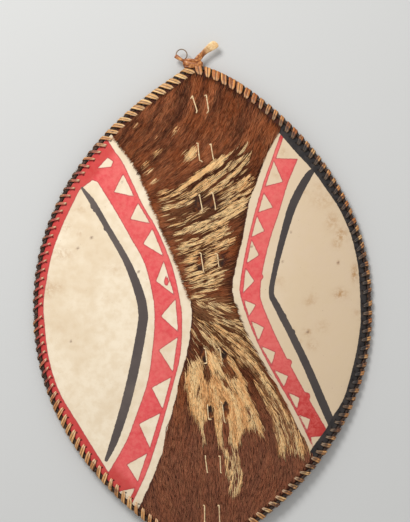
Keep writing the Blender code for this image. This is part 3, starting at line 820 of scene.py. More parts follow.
def blondShare(x, y):
    share = np.zeros(x.shape)
    golden = np.zeros(x.shape)
    for outline, amount, gold in blondPatches:
        inside = np.clip(depthInside(x, y, np.array(outline, float)) / 3 + 0.5, 0, 1)
        share = share * (1 - inside) + amount * inside
        golden = golden * (1 - inside) + gold * inside
    for spotX, spotY, halfX, halfY in blondFlecks:
        share = np.where(((x - spotX) / halfX) ** 2 + ((y - spotY) / halfY) ** 2 < 1, 1.0, share)
    return share, golden


def inHollow(x, y):
    bare = np.zeros(x.shape, bool)
    for spotX, spotY, halfX, halfY in hollows:
        bare |= ((x - spotX) / halfX) ** 2 + ((y - spotY) / halfY) ** 2 < 1
    return bare


def spreadEvenly(values):
    return 0.5 * (1 + np.tanh(0.8 * (values - values.mean()) / values.std()))


# Random streaks that run the way the hair lies, spread evenly from 0 to 1
def hairStreaks(x, y, above, width, reach, seed):
    steps = 5
    total = np.zeros(x.shape)
    for direction in (-1, 1):
        atX = x.copy()
        atY = y.copy()
        for _ in range(steps):
            total += softNoise(atX, atY, width, seed)
            flowX, flowY = hairFlow(atX, atY, above)
            atX += direction * flowX * reach / steps
            atY += direction * flowY * reach / steps
    return spreadEvenly(total)


def furDepth(x, y):
    rim = planAt(np.linspace(0, rimTotal, 160, endpoint=False)) / mm
    field = depthInside(x, y, furOutline(3)) + raggedness(x, y)
    return np.minimum(field, depthInside(x, y, rim) - furForm["rimMargin"])


# Roots of the locks on a jittered grid, inside the hair's field
def plantLocks(draw):
    pitch = furForm["lockPitch"]
    columns = np.arange(*furForm["gridX"], pitch)
    rows = np.arange(*furForm["gridY"], pitch * 0.87)
    gridX, gridY = np.meshgrid(columns, rows)
    gridX = gridX + pitch / 2 * (np.arange(gridX.shape[0])[:, None] % 2)
    jitter = furForm["lockJitter"]
    lockX = (gridX + draw.uniform(-jitter, jitter, gridX.shape) * pitch).ravel()
    lockY = (gridY + draw.uniform(-jitter, jitter, gridX.shape) * pitch).ravel()
    kept = furDepth(lockX, lockY) > 0.3
    return lockX[kept], lockY[kept]


# Each strand follows the flow in three steps, turned and curled a little
def strandPaths(rootX, rootY, above, turn, curl, reach):
    path = [(rootX, rootY)]
    for step in (-1, 0, 1):
        x, y = path[-1]
        flowX, flowY = hairFlow(x, y, above)
        angle = turn + curl * step * 2
        turnedX = flowX * np.cos(angle) - flowY * np.sin(angle)
        turnedY = flowX * np.sin(angle) + flowY * np.cos(angle)
        path.append((x + turnedX * reach / 3, y + turnedY * reach / 3))
    return path


# Hair stops soon after the edge of its field, where it was scraped off for the paint
def cutAtEdge(path, overhang):
    rootX, rootY = path[0]
    rootDepth = furDepth(rootX, rootY)
    tipDepth = furDepth(*path[-1])
    fit = np.clip((rootDepth + overhang) / np.maximum(rootDepth - tipDepth, 0.01), 0, 1)
    fit = np.where(tipDepth < -overhang, fit, 1)
    return [(rootX + (x - rootX) * fit, rootY + (y - rootY) * fit) for x, y in path], rootDepth, fit


def crossesHollow(path):
    bare = np.zeros(path[0][0].shape, bool)
    for (startX, startY), (endX, endY) in zip(path, path[1:]):
        for part in (0.33, 0.66, 1.0):
            bare |= inHollow(startX * (1 - part) + endX * part, startY * (1 - part) + endY * part)
    return bare


# How far the hair may stand up: the stitches press it flat beside them
def freeHeight(path):
    away = np.full(path[0][0].shape, 99.0)
    for stitch in stitchLines():
        for x, y in path[1:3]:
            away = np.minimum(away, -depthInStroke(x, y, stitch, [0, 0]))
    return np.clip(away / 8, 0.12, 1)


def makeFur(material):
    draw = np.random.default_rng(11)
    lockX, lockY = plantLocks(draw)
    above = abovePartingAt(lockX, lockY)
    flowX, flowY = hairFlow(lockX, lockY, above)
    lockShade = hairStreaks(lockX, lockY, above, *furForm["shadeStreak"], 9)
    lockLength = draw.uniform(*furForm["length"], lockX.shape)
    lockTurn = draw.normal(0, furForm["lockTurn"], lockX.shape)

    count = furForm["strands"]
    size = (len(lockX), count)
    along = draw.uniform(*furForm["rootAlong"], size)
    aside = draw.uniform(*furForm["rootAside"], size)
    rootX = lockX[:, None] + flowX[:, None] * along - flowY[:, None] * aside
    rootY = lockY[:, None] + flowY[:, None] * along + flowX[:, None] * aside
    reach = lockLength[:, None] * draw.uniform(*furForm["reachShares"], size)
    above = np.repeat(above[:, None], count, 1)
    streaks = 0.96 * hairStreaks(rootX, rootY, above, *furForm["streak"], 5) + 0.04 * draw.random(size)
    evened = spreadEvenly(streaks)
    share, golden = blondShare(rootX + flowX[:, None] * 12, rootY + flowY[:, None] * 12)
    turn = lockTurn[:, None] + draw.normal(0, furForm["strandTurn"], size)
    curl = draw.normal(0, furForm["curl"], size)
    gather = draw.uniform(*furForm["gatherShares"], size)
    sideX = -flowY[:, None] * aside
    sideY = flowX[:, None] * aside
    path = []
    for (x, y), pull in zip(strandPaths(rootX, rootY, above, turn, curl, reach), furForm["gather"]):
        path.append((x - sideX * pull * gather, y - sideY * pull * gather))
    overhang = furForm["overhang"] * draw.uniform(0.0, 1.5, size) * (draw.random(size) < 0.75)
    path, rootDepth, fit = cutAtEdge(path, overhang)
    grown = (rootDepth > -0.6) & (fit * reach > furForm["shortest"])
    grown &= ~(crossesHollow(path) & (draw.random(size) < furForm["hollowCut"]))

    pale = evened < share * np.where(share < 0.9, furForm["thinned"], 1)
    tone = np.where(pale, 1.0, golden * draw.uniform(0.2, 1.6, size)) + draw.normal(0, 0.05, size)
    lift = draw.uniform(*furForm["lift"], size) * (1 - 0.35 * (share > 0.9)) + 0.9 * (tone > 0.6)
    lift *= freeHeight(path)
    half = draw.uniform(*furForm["halfWidth"], size)
    shade = np.clip(lockShade[:, None] * 0.62 + draw.uniform(-0.05, 0.43, size), 0, 1)
    mixed = np.clip(share * 5, 0, 1) * (share < 0.9)
    shade = np.where(tone < 0.5, shade * (1 - 0.68 * mixed), shade + 0.12 * mixed)
    density = np.where(lockY > furForm["splits"][-1], *furForm["kept"])
    grown &= draw.random(size) < density[:, None]

    edges = (1000,) + furForm["splits"] + (-1000,)
    for name, upper, lower in zip(furForm["names"], edges, edges[1:]):
        chosen = grown & (lockY[:, None] < upper) & (lockY[:, None] >= lower)
        plan = [np.stack([x[chosen], y[chosen]], -1) * mm for x, y in path]
        points, faces = strandMesh(plan, half[chosen] * mm, lift[chosen] * mm)
        piece = makePiece(name, points, faces, material)
        number = int(chosen.sum())
        addAttribute(piece, "tone", np.repeat(tone[chosen], 10))
        addAttribute(piece, "shade", np.repeat(shade[chosen], 10))
        addAttribute(piece, "alongHair", np.tile([0, 0, 0, 0.33, 0.33, 0.33, 0.67, 0.67, 0.67, 1.0], number))
        print(name + ":", number, "strands,", len(faces), "triangles")


# Each strand of hair: a thin three-sided spike along its four path points
def strandMesh(path, half, lift):
    number = len(half)
    line = []
    for plan, rise in zip(path, furForm["rise"]):
        line.append(surfacePoint(plan[:, 0], plan[:, 1], lift * rise))
    up = domeUp(path[1][:, 0], path[1][:, 1])
    rings = []
    for index, taper in ((0, 0.75), (1, 1.0), (2, 0.85)):
        ahead = line[index + 1] - line[index]
        side = unit(np.cross(ahead, up)) * (half * taper)[:, None]
        ridge = up * (half * taper * 1.1)[:, None]
        rings += [line[index] - side, line[index] + side, line[index] + ridge]
    points = np.stack(rings + [line[3]], 1).reshape(-1, 3)
    pattern = [(0, 1, 2)]
    for low in (0, 3):
        for corner in range(3):
            beside = (corner + 1) % 3
            pattern.append((low + corner, low + 3 + corner, low + 3 + beside))
            pattern.append((low + corner, low + 3 + beside, low + beside))
    pattern += [(6, 9, 7), (7, 9, 8), (8, 9, 6)]
    faces = (np.arange(number)[:, None, None] * 10 + np.array(pattern)[None]).reshape(-1, 3)
    return points, faces


furLooks = {
    "brownDark": srgb(58, 26, 15),
    "brown": srgb(140, 78, 48),
    "brownRed": srgb(194, 116, 70),
    "brownLow": srgb(162, 104, 80),
    "brownOrange": srgb(156, 78, 34),
    "blondDark": srgb(224, 156, 94),
    "blond": srgb(255, 208, 146),
    "blondPale": srgb(255, 226, 172),
}


def furMaterial():
    material, tree, shader = newMaterial("hair", 0.5)
    looks = furLooks
    shade = attributeNode(tree, "shade")
    brownStops = [(0.0, looks["brownDark"]), (0.55, looks["brown"]), (1.0, looks["brownRed"])]
    blondStops = [(0.0, looks["blondDark"]), (0.4, looks["blond"]), (1.0, looks["blondPale"])]
    brown = rampNode(tree, shade, brownStops)
    blond = rampNode(tree, shade, blondStops)
    # rootShade: painted shade, the hair darker towards its roots where the strands shade one another
    rootShade = rangeNode(tree, attributeNode(tree, "alongHair"), 0.0, 0.5, 0.6, 0.0)
    broad = timesNode(tree, rangeNode(tree, noiseNode(tree, 15.0, 3.0), 0.45, 0.68, 0.0, 0.6),
                      rangeNode(tree, shade, 0.0, 0.45))
    brown = mixNode(tree, broad, brown, looks["brownOrange"])
    low = rangeNode(tree, placeNode(tree)[1], -0.14, -0.30, 0.0, 0.65)
    brown = mixNode(tree, low, brown, looks["brownLow"])
    brown = mixNode(tree, rootShade, brown, looks["brownDark"])
    blond = mixNode(tree, timesNode(tree, rootShade, 0.45), blond, looks["blondDark"])
    colour = mixNode(tree, attributeNode(tree, "tone"), brown, blond)
    tree.links.new(colour, shader.inputs["Base Color"])
    shader.inputs["Specular IOR Level"].default_value = 0.12
    return material


# Lacing: one crowned strap a turn, up through a slit, over the roll and back underneath
lacing = {
    "pitch": 0.0162,
    "topGap": 0.0068,
    "bottomGap": 0.0130,
    "joinGap": 0.0040,
    "path": [(-0.0020, 0.0, 0.0), (-0.0028, 0.0026, 0.01), (-0.0008, 0.0044, 0.03), (0.0034, 0.0056, 0.06),
             (0.0078, 0.0062, 0.10), (0.0114, 0.0057, 0.14), (0.0143, 0.0036, 0.18), (0.0152, 0.0, 0.30),
             (0.0143, -0.0036, 0.44), (0.0114, -0.0057, 0.56), (0.0078, -0.0060, 0.66),
             (0.0034, -0.0048, 0.78), (-0.0008, -0.0034, 0.92)],
    "slitOut": -0.0034,
    "samples": 2,
    "width": 0.0094,
    "slitWidth": 0.0060,
    "thickness": 0.0020,
    "groove": 0.0008,
    "corners": 9,
    "lean": 0.55,  # how far the top pass slants back towards the slit before
    "slip": 0.0008,
    "bulk": (0.85, 1.2),
    "widthSpread": (0.82, 1.12),
    "inkedTo": 0.0070,  # how far out from the slits the black of the border reaches
    "brushedFrom": 0.0008,
    "brushedTo": 0.0080,
}


def turnRuns(start, end):
    turns = max(int(abs(end - start) / lacing["pitch"] + 0.5), 2)
    return start + (end - start) * np.arange(turns + 1) / turns


halfWay = rimTotal / 2
leftSide = halfWay / 2
rightSide = rimTotal - leftSide
laceRuns = {
    "edge_thong_upper_left": turnRuns(lacing["topGap"], leftSide - lacing["joinGap"]),
    "edge_thong_lower_left": turnRuns(leftSide + lacing["joinGap"], halfWay - lacing["bottomGap"]),
    "edge_thong_lower_right": turnRuns(rightSide - lacing["joinGap"], halfWay + lacing["bottomGap"]),
    "edge_thong_upper_right": turnRuns(rimTotal - lacing["topGap"], rightSide + lacing["joinGap"]),
}


# Colour and width of the lacing by its share of the way round: 0 at the top, down the left side
laceAges = {
    "places": [0.0, 0.03, 0.085, 0.11, 0.20, 0.305, 0.325, 0.50, 0.58, 0.66, 0.80, 0.89, 0.925,
               0.955, 0.967, 1.0],
    "dark": [0.0, 0.0, 0.05, 0.60, 0.90, 0.85, 0.15, 0.25, 0.40, 0.45, 0.40, 0.35, 0.28, 0.0, -0.2, -0.2],
    "orange": [0.10, 0.10, 0.20, 0.45, 0.50, 0.50, 0.45, 0.30, 0.40, 0.50, 0.60, 0.70, 0.80, 0.90, 1.0, 0.9],
    "painted": [0, 0, 0, 0.6, 1, 1, 0, 0, 0, 0, 0, 0, 0, 0, 0, 0],  # red brushed over them too
    "inked": [0, 0, 0, 0, 0, 0, 0, 0, 0.4, 1, 1, 1, 0.6, 0, 0, 0],  # black from the border beside them
    "width": [1.16, 1.14, 1.08, 0.62, 0.52, 0.54, 1.0, 1.0, 0.90, 0.80, 0.85, 0.95, 1.05, 1.40, 1.55, 1.4],
}


def laceAge(name, place):
    return np.interp(place, laceAges["places"], laceAges[name])


def makeLacing(material):
    draw = np.random.default_rng(23)
    centre = smoothLine(lacing["path"] + [lacing["path"][0][:2] + (1.0,)], lacing["samples"])[:-1]
    widths = np.interp(centre[:, 0], [-0.002, 0.002], [lacing["slitWidth"], lacing["width"]])
    angles = np.linspace(-1, 1, lacing["corners"])
    crown = lacing["thickness"] * (1 - 0.45 * angles ** 2) - lacing["groove"] * np.exp(-(angles / 0.3) ** 2)
    sectionAside = np.concatenate([angles, [0.75, 0.0, -0.75]]) / 2
    sectionRise = np.concatenate([crown - lacing["thickness"] * 0.5, np.full(3, -lacing["thickness"] * 0.5)])
    corners = len(sectionAside)
    onTop = centre[:, 1] > 0
    bordered = onTop & (centre[:, 0] < lacing["inkedTo"])
    brushed = onTop & (centre[:, 0] > lacing["brushedFrom"]) & (centre[:, 0] < lacing["brushedTo"])
    # creaseShade: painted shade along the groove between the plies and at the strap's edges, where the wraps
    # meet
    creaseShade = np.concatenate([np.exp(-(angles / 0.22) ** 2) + 0.6 * angles ** 8, [0.5] * 3])
    # inner: the thong's bend into its slit, where its painted highlight goes
    inner = onTop * np.exp(-((centre[:, 0] + 0.001) / 0.0025) ** 2)
    for name, runs in laceRuns.items():
        rings = []
        marks = {"dark": [], "orange": [], "fibre": [], "painted": [], "inked": [], "groove": [], "inner": []}
        for start, end in zip(runs, runs[1:]):
            place = (start % rimTotal) / rimTotal
            wide = laceAge("width", place) * draw.uniform(*lacing["widthSpread"])
            dark = np.clip(laceAge("dark", place) + draw.normal(0, 0.14), 0, 1)
            orange = np.clip(laceAge("orange", place) + draw.normal(0, 0.2), 0, 1)
            slip = draw.normal(0, lacing["slip"])
            lean = lacing["lean"] + draw.normal(0, 0.07)
            bulk = draw.uniform(*lacing["bulk"])
            wave = softNoise(centre[:, 2] * 7, np.full(len(centre), start * 90), 1.0, 31) - 0.5
            run = start + (end - start) * centre[:, 2] + slip * np.sin(math.pi * centre[:, 2])
            run = run + lean * (centre[:, 0] - shield["edgeReach"])
            line = rimPoint(run, centre[:, 0], centre[:, 1])
            along = rimFrame(run)[1] * np.sign(end - start)
            nearby = np.gradient(line, axis=0)
            away = unit(np.cross(along, nearby))
            outward = unit(line - rimPoint(run, shield["rollOut"] * 0.72, 0.0))
            away *= np.sign(np.sum(away * outward, -1, keepdims=True))
            width = (widths * wide * (1 + 0.25 * wave))[:, None, None]
            ring = (line[:, None] + along[:, None] * sectionAside[None, :, None] * width
                    + away[:, None] * sectionRise[None, :, None] * bulk)
            rings.append(ring)
            marks["dark"].append(np.full(ring.shape[:2], dark))
            marks["orange"].append(np.full(ring.shape[:2], orange))
            marks["fibre"].append(np.tile(draw.random(corners), (len(ring), 1)))
            red = laceAge("painted", place) * draw.uniform(0.5, 1.1)
            marks["painted"].append(np.repeat((red * brushed)[:, None], corners, 1))
            black = laceAge("inked", place) * draw.uniform(0.85, 1.0)
            marks["inked"].append(np.repeat((black * bordered)[:, None], corners, 1))
            marks["groove"].append(np.tile(creaseShade, (len(ring), 1)))
            marks["inner"].append(np.repeat(inner[:, None], corners, 1))
        piece = makeTube(name + "_strap", np.concatenate(rings), material, [name])
        for mark, values in marks.items():
            addAttribute(piece, mark, np.concatenate(values).ravel())
    print("lacing: 4 thongs")


laceLooks = {
    "light": srgb(206, 150, 88),
    "lightOrange": srgb(168, 88, 32),
    # pale and paleOrange: painted highlight on the thong
    "pale": srgb(250, 216, 154),
    "paleOrange": srgb(232, 162, 84),
    "brown": srgb(98, 56, 28),
    "dark": srgb(66, 36, 24),
    "darkWorn": srgb(160, 106, 72),
    # bendHighlight: painted highlight where the thong bends down into its slit
    "bendHighlight": srgb(240, 202, 160),
    # groove: painted shade for the crease between the plies and at the strap's edges
    "groove": srgb(64, 36, 20),
    "painted": srgb(188, 62, 56),
    "inked": srgb(30, 26, 26),
}


def laceMaterial():
    material, tree, shader = newMaterial("lacing thong", 0.5)
    looks = laceLooks
    fine = noiseNode(tree, 420.0, 4.0)
    fibre = attributeNode(tree, "fibre")
    orange = attributeNode(tree, "orange")
    # pale: painted highlight, laid on by fine noise and in streaks along the plies
    pale = mixNode(tree, orange, looks["pale"], looks["paleOrange"])
    light = layered(tree, mixNode(tree, orange, looks["light"], looks["lightOrange"]), [
        (rangeNode(tree, fine, 0.42, 0.72, 0.0, 0.45), pale),
        (rangeNode(tree, fibre, 0.55, 0.95, 0.0, 0.85), pale),
        (rangeNode(tree, fibre, 0.02, 0.35, 0.75, 0.0), looks["brown"]),
    ])
    dark = mixNode(tree, rangeNode(tree, fine, 0.38, 0.68), looks["dark"], looks["darkWorn"])
    patchy = timesNode(tree, mathNode(tree, "SUBTRACT", noiseNode(tree, 150.0, 2.0), 0.5), 1.6)
    share = mathNode(tree, "ADD", attributeNode(tree, "dark"), patchy)
    # painted highlight at the inner end of each wrap, stronger on the dark wraps
    bendHighlight = timesNode(tree, attributeNode(tree, "inner"), rangeNode(tree, share, -0.1, 0.6, 0.35, 1.0))
    # painted shade in the groove between the plies and at the strap's edges
    groove = rangeNode(tree, attributeNode(tree, "groove"), 0.25, 0.85, 0.0, 0.80)
    painted = timesNode(tree, attributeNode(tree, "painted"), rangeNode(tree, fine, 0.35, 0.6, 0.5, 1.0))
    inked = timesNode(tree, attributeNode(tree, "inked"), rangeNode(tree, fine, 0.30, 0.55, 0.9, 1.0))
    colour = layered(tree, light, [
        (rangeNode(tree, share, 0.3, 0.75), dark),
        (bendHighlight, looks["bendHighlight"]),
        (groove, looks["groove"]),
        (painted, looks["painted"]),
        (inked, looks["inked"]),
    ])
    tree.links.new(colour, shader.inputs["Base Color"])
    bumpNode(tree, shader, fine, 0.4, 0.0005)
    return material


rollForm = {
    "stations": 900,
    "corners": 10,
    "lumps": 0.0006,
    "hairs": 5200,
    "hairLength": (0.003, 0.0075),
    "hairHalf": (0.00022, 0.00042),
    "hairFrom": (-0.9, 2.6),  # angles round the roll, from straight outwards and up
    "hairUp": (0.25, 0.9),
    "colours": (srgb(34, 22, 16), srgb(92, 58, 38)),
    "hairColour": srgb(176, 128, 84),
}


def makeRoll(material):
    draw = np.random.default_rng(37)
    runs = np.linspace(0, rimTotal, rollForm["stations"], endpoint=False)
    turn = np.linspace(0, math.tau, rollForm["corners"], endpoint=False)
    lump = softNoise(runs[:, None] / 0.006, turn[None, :] * 1.5, 1.0, 41) - 0.5
    radius = shield["rollRadius"] + rollForm["lumps"] * lump
    out = shield["rollOut"] + radius * np.cos(turn)
    rise = radius * np.sin(turn)
    makeTube("edge_roll", rimPoint(runs[:, None], out, rise), material, ["rim_roll"], True)

    number = rollForm["hairs"]
    run = draw.uniform(0, rimTotal, number)
    angle = draw.uniform(*rollForm["hairFrom"], number)
    length = draw.uniform(*rollForm["hairLength"], number)
    lying = draw.uniform(0.3, 1.0, number) * np.where(draw.random(number) < 0.8, 1, -1)
    thick = draw.uniform(*rollForm["hairHalf"], number)
    base, along, outwards, up = rimFrame(run)
    ray = outwards * np.cos(angle)[:, None] + up * np.sin(angle)[:, None]
    root = base + outwards * shield["rollOut"] + ray * (shield["rollRadius"] - 0.0003)
    rising = draw.uniform(*rollForm["hairUp"], number)
    lean = unit(ray * rising[:, None] + along * lying[:, None])
    tip = root + lean * length[:, None]
    side = unit(np.cross(lean, ray)) * thick[:, None]
    points = np.stack([root - side, root + side, root + ray * thick[:, None] * 1.5, tip], 1).reshape(-1, 3)
    pattern = np.array([(0, 1, 2), (0, 3, 1), (1, 3, 2), (2, 3, 0)])
    faces = (np.arange(number)[:, None, None] * 4 + pattern[None]).reshape(-1, 3)
    hair = makePiece("edge_roll_hair", points, faces, material)
    addAttribute(hair, "light", np.repeat(draw.random(number) ** 3, 4))
    print("roll:", number, "hairs")


def rollMaterial():
    material, tree, shader = newMaterial("dark roll", 0.6)
    fine = rangeNode(tree, noiseNode(tree, 300.0, 4.0), 0.4, 0.75)
    colour = mixNode(tree, fine, *rollForm["colours"])
    colour = mixNode(tree, attributeNode(tree, "light"), colour, rollForm["hairColour"])
    tree.links.new(colour, shader.inputs["Base Color"])
    bumpNode(tree, shader, noiseNode(tree, 500.0, 4.0), 0.6, 0.0008)
    return material


# Stave behind the hide, bowed away from it at the grip
staveForm = {
    "radius": 0.0090,
    "depth": 0.0120,
    "reach": 0.432,
    "offset": 0.022,
    "bow": 0.0140,
    "bowAt": -0.160,
    "gripDepth": 0.0461,
    "gripLength": 0.069,
    "gripRamp": 0.035,
    "stations": 220,
    "corners": 24,
    "lumps": 0.0007,
    "knots": [(-0.27, 0.0014), (-0.13, 0.0010), (0.16, 0.0012), (0.33, 0.0013)],
    "colours": [(0.3, srgb(74, 44, 26)), (0.5, srgb(116, 76, 46)), (0.72, srgb(158, 112, 72))],
    "patchColour": srgb(70, 42, 26),
}


def staveX(y):
    return staveForm["offset"] - staveForm["bow"] * ((y - staveForm["bowAt"]) / staveForm["reach"]) ** 2


def staveZ(y):
    close = domeHeight(staveX(y), y) - staveForm["depth"]
    share = np.clip((np.abs(y) - staveForm["gripLength"] / 2) / staveForm["gripRamp"], 0, 1)
    blend = share * share * (3 - 2 * share)
    return -staveForm["gripDepth"] * (1 - blend) + close * blend


def ringsAlong(line, radii, turn):
    tangent = unit(np.gradient(line, axis=0))
    side = unit(np.cross(tangent, np.array([0.0, 0.0, 1.0])))
    up = np.cross(side, tangent)
    return ringsAcross(line, side[:, None], up[:, None], np.cos(turn) * radii, np.sin(turn) * radii)


def makeStave(material):
    y = np.linspace(-staveForm["reach"], staveForm["reach"], staveForm["stations"])
    line = np.stack([staveX(y), y, staveZ(y)], -1)
    turn = np.linspace(0, math.tau, staveForm["corners"], endpoint=False)[None, :] + np.zeros((len(y), 1))
    noise = softNoise(y[:, None] / 0.03 + np.cos(turn), 3 + np.sin(turn) * 1.2, 1.0, 51) - 0.5
    radii = staveForm["radius"] + staveForm["lumps"] * noise
    for knotAt, knotSize in staveForm["knots"]:
        swell = np.exp(-((y - knotAt) / 0.008) ** 2)[:, None] * np.clip(np.cos(turn + knotAt * 40), 0, 1)
        radii = radii + knotSize * swell
    ends = np.clip((staveForm["reach"] - np.abs(y)) / 0.002, 0.0, 1)
    radii = radii * (0.86 + 0.14 * np.sqrt(ends))[:, None]
    rings = ringsAlong(line, radii, turn)
    rings[..., 2] = np.maximum(rings[..., 2], -shieldMiddle[2])
    makeTube("back_stave", rings, material, ["stave"])
    print("stave")


def woodMaterial():
    material, tree, shader = newMaterial("stave wood", 0.45)
    grain = noiseNode(tree, 60.0, 6.0, stretch=(6.0, 0.35, 6.0))
    colour = rampNode(tree, grain, staveForm["colours"])
    patch = rangeNode(tree, noiseNode(tree, 18.0, 3.0), 0.45, 0.7)
    colour = mixNode(tree, timesNode(tree, patch, 0.5), colour, staveForm["patchColour"])
    tree.links.new(colour, shader.inputs["Base Color"])
    bumpNode(tree, shader, grain, 0.35, 0.001)
    return material


# Thong wound round the straight of the grip
winding = {
    "turns": 12,
    "length": 0.0650,
    "innerRadius": 0.0098,
    "thickness": 0.0016,
    "overlap": 1.22,
    "samples": 26,
    "colours": [(0.3, srgb(70, 40, 24)), (0.55, srgb(122, 76, 44)), (0.8, srgb(170, 116, 72))],
}


def makeWinding(material):
    lower, upper = [np.array([staveX(y), y, -staveForm["gripDepth"]])
                    for y in (-staveForm["gripLength"] / 2, staveForm["gripLength"] / 2)]
    axis = unit(upper - lower)
    middle = (lower + upper) / 2
    side = unit(np.cross(axis, np.array([0.0, 0.0, 1.0])))
    up = np.cross(side, axis)
    pitch = winding["length"] / (winding["turns"] + 1)
    turn = np.linspace(0, math.tau * winding["turns"], winding["turns"] * winding["samples"] + 1)
    slide = -winding["length"] / 2 + pitch * (0.5 + turn / math.tau)
    across = np.array([-1, -0.6, 0, 0.6, 1, 0.5, -0.5]) * pitch / 2 * winding["overlap"]
    rise = np.array([0.15, 0.75, 1.0, 0.85, 0.5, 0.0, 0.0]) * winding["thickness"]
    wobble = softNoise(turn * 0.8, turn * 0, 1.0, 61) - 0.5
    ray = side * np.cos(turn)[:, None] + up * np.sin(turn)[:, None]
    radius = winding["innerRadius"] + rise[None, :] * (1 + 0.25 * wobble[:, None])
    place = slide[:, None] + across[None, :] + 0.0006 * wobble[:, None]
    rings = middle + ray[:, None] * radius[..., None] + axis * place[..., None]
    makeTube("grip_winding", rings, material, ["grip_wrap"])
    print("grip winding:", winding["turns"], "turns")


def windingMaterial():
    material, tree, shader = newMaterial("grip thong", 0.42)
    fine = noiseNode(tree, 260.0, 4.0)
    colour = rampNode(tree, fine, winding["colours"])
    tree.links.new(colour, shader.inputs["Base Color"])
    bumpNode(tree, shader, fine, 0.4, 0.0006)
    return material


# Ties: two stitches on the front, crossing behind the stave
ties = {
    "rows": [0.387, 0.29311, 0.20102, 0.088, -0.088, -0.19413, -0.28792, -0.382],
    "halfLength": 0.0155,
    "halfSpread": 0.01315,
    # Front ends of the left and right stitch of each row, upper then lower, in plan millimetres,
    # each with the hook that leads it to its hole
    "fronts": [
        [(-18, 399, -5, -6), (-11, 369, -1, -2), (8, 401, -5, -3), (11, 369, -3, -3)],
        [(-8, 309, -3, 0), (-5, 276, 6, -2), (17, 308, -4, -1), (21, 277, 2, -1)],
        [(-5, 213, -2, -1), (-1, 184, 1, -2), (20, 217, -7, -3), (24, 187, 1, -2)],
        [(-2, 104, -3, 1), (1, 71, 3, -2), (28, 103, -5, 1), (30, 81, 1, -2)],
        [(5, -72, -2, 1), (8, -98, -5, -2), (33, -72, -5, 1), (36, -99, 2, -1)],
        [(9, -177, 1, 1), (11, -203, 6, -1), (37, -173, -4, 3), (41, -208, 2, -2)],
        [(6, -273, -2, 1), (8, -303, 3, -1), (33, -273, -4, 1), (34, -303, 2, -1)],
        [(4, -367, -3, 1), (4, -397, 2, -1), (31, -366, -3, -1), (32, -398, 3, -1)],
    ],
    "waist": 0.0106,
    "front": 0.0040,
    "halfWidth": 0.00125,
    "halfThick": 0.0008,
    "samples": 7,
    "corners": 8,
    "colours": [(0.25, srgb(178, 134, 86)), (0.5, srgb(232, 200, 152)), (0.8, srgb(250, 230, 190))],
}


def stitchLines():
    lines = []
    for leftTop, leftLow, rightTop, rightLow in ties["fronts"]:
        lines.append(np.array([leftTop[:2], leftLow[:2]], float))
        lines.append(np.array([rightTop[:2], rightLow[:2]], float))
    return lines


def makeTies(material):
    draw = np.random.default_rng(71)
    for number, (row, fronts) in enumerate(zip(ties["rows"], ties["fronts"]), start=1):
        points = []
        for end in (1, -1):
            y = row + end * ties["halfLength"]
            middle = float(staveX(y))
            axis = float(staveZ(y))
            waist = ties["waist"]
            spread = ties["halfSpread"]
            crossing = []
            for side in (-1, 1):
                endX, endY, hookX, hookY = np.array(fronts[(side + 1) + (end < 0)]) * mm
                x = endX - middle
                aside = endY - y
                top = float(domeHeight(endX, endY)) + ties["front"]
                crossing.append([
                    (x, aside - end * 0.0040, top),
                    (x + hookX * 0.15, aside + hookY * 0.1, top - 0.0001),
                    (x + hookX * 0.75, aside + hookY * 0.6, top - 0.0004),
                    (x + hookX, aside + hookY, top - 0.0045),
                    (side * spread * 0.9, 0.0, axis + 0.0040),
                    (side * waist * 0.98, 0.0, axis + 0.0010),
                    (side * waist * 0.62, 0.0, axis - waist * 0.78),
                ])
            path = crossing[0] + [(0.0, 0.0, axis - waist)] + crossing[1][::-1]
            if end < 0:
                path = path[::-1]
            for x, aside, z in path:
                points.append((middle + x, y + aside, z))
        points.append(points[0])
        bend = draw.normal(0, 0.0004, (len(points), 3)) * (1, 1, 0.2)
        bend[-1] = bend[0]
        line = smoothLine(np.array(points) + bend, ties["samples"])[:-1]
        turn = np.linspace(0, math.tau, ties["corners"], endpoint=False)[None, :]
        tangent = unit(np.roll(line, -1, 0) - np.roll(line, 1, 0))
        toStave = unit(np.stack([line[:, 0] - staveX(line[:, 1]), np.zeros(len(line)),
                                 line[:, 2] - staveZ(line[:, 1])], -1))
        side = unit(np.cross(tangent, toStave))
        normal = np.cross(side, tangent)
        wave = softNoise(line[:, 1] / 0.006, line[:, 2] / 0.004, 1.0, 73 + number)
        wide = ties["halfWidth"] * (0.85 + 0.35 * wave)
        rings = ringsAcross(line, side[:, None], normal[:, None], np.cos(turn) * wide[:, None],
                            np.sin(turn) * ties["halfThick"])
        makeTube(f"stitch_{number}", rings, material, [f"tie_{number}"], True)
    print("ties:", len(ties["rows"]))


def tieMaterial():
    material, tree, shader = newMaterial("tie thong", 0.55)
    fine = noiseNode(tree, 300.0, 4.0)
    colour = rampNode(tree, fine, ties["colours"])
    tree.links.new(colour, shader.inputs["Base Color"])
    bumpNode(tree, shader, fine, 0.3, 0.0004)
    return material


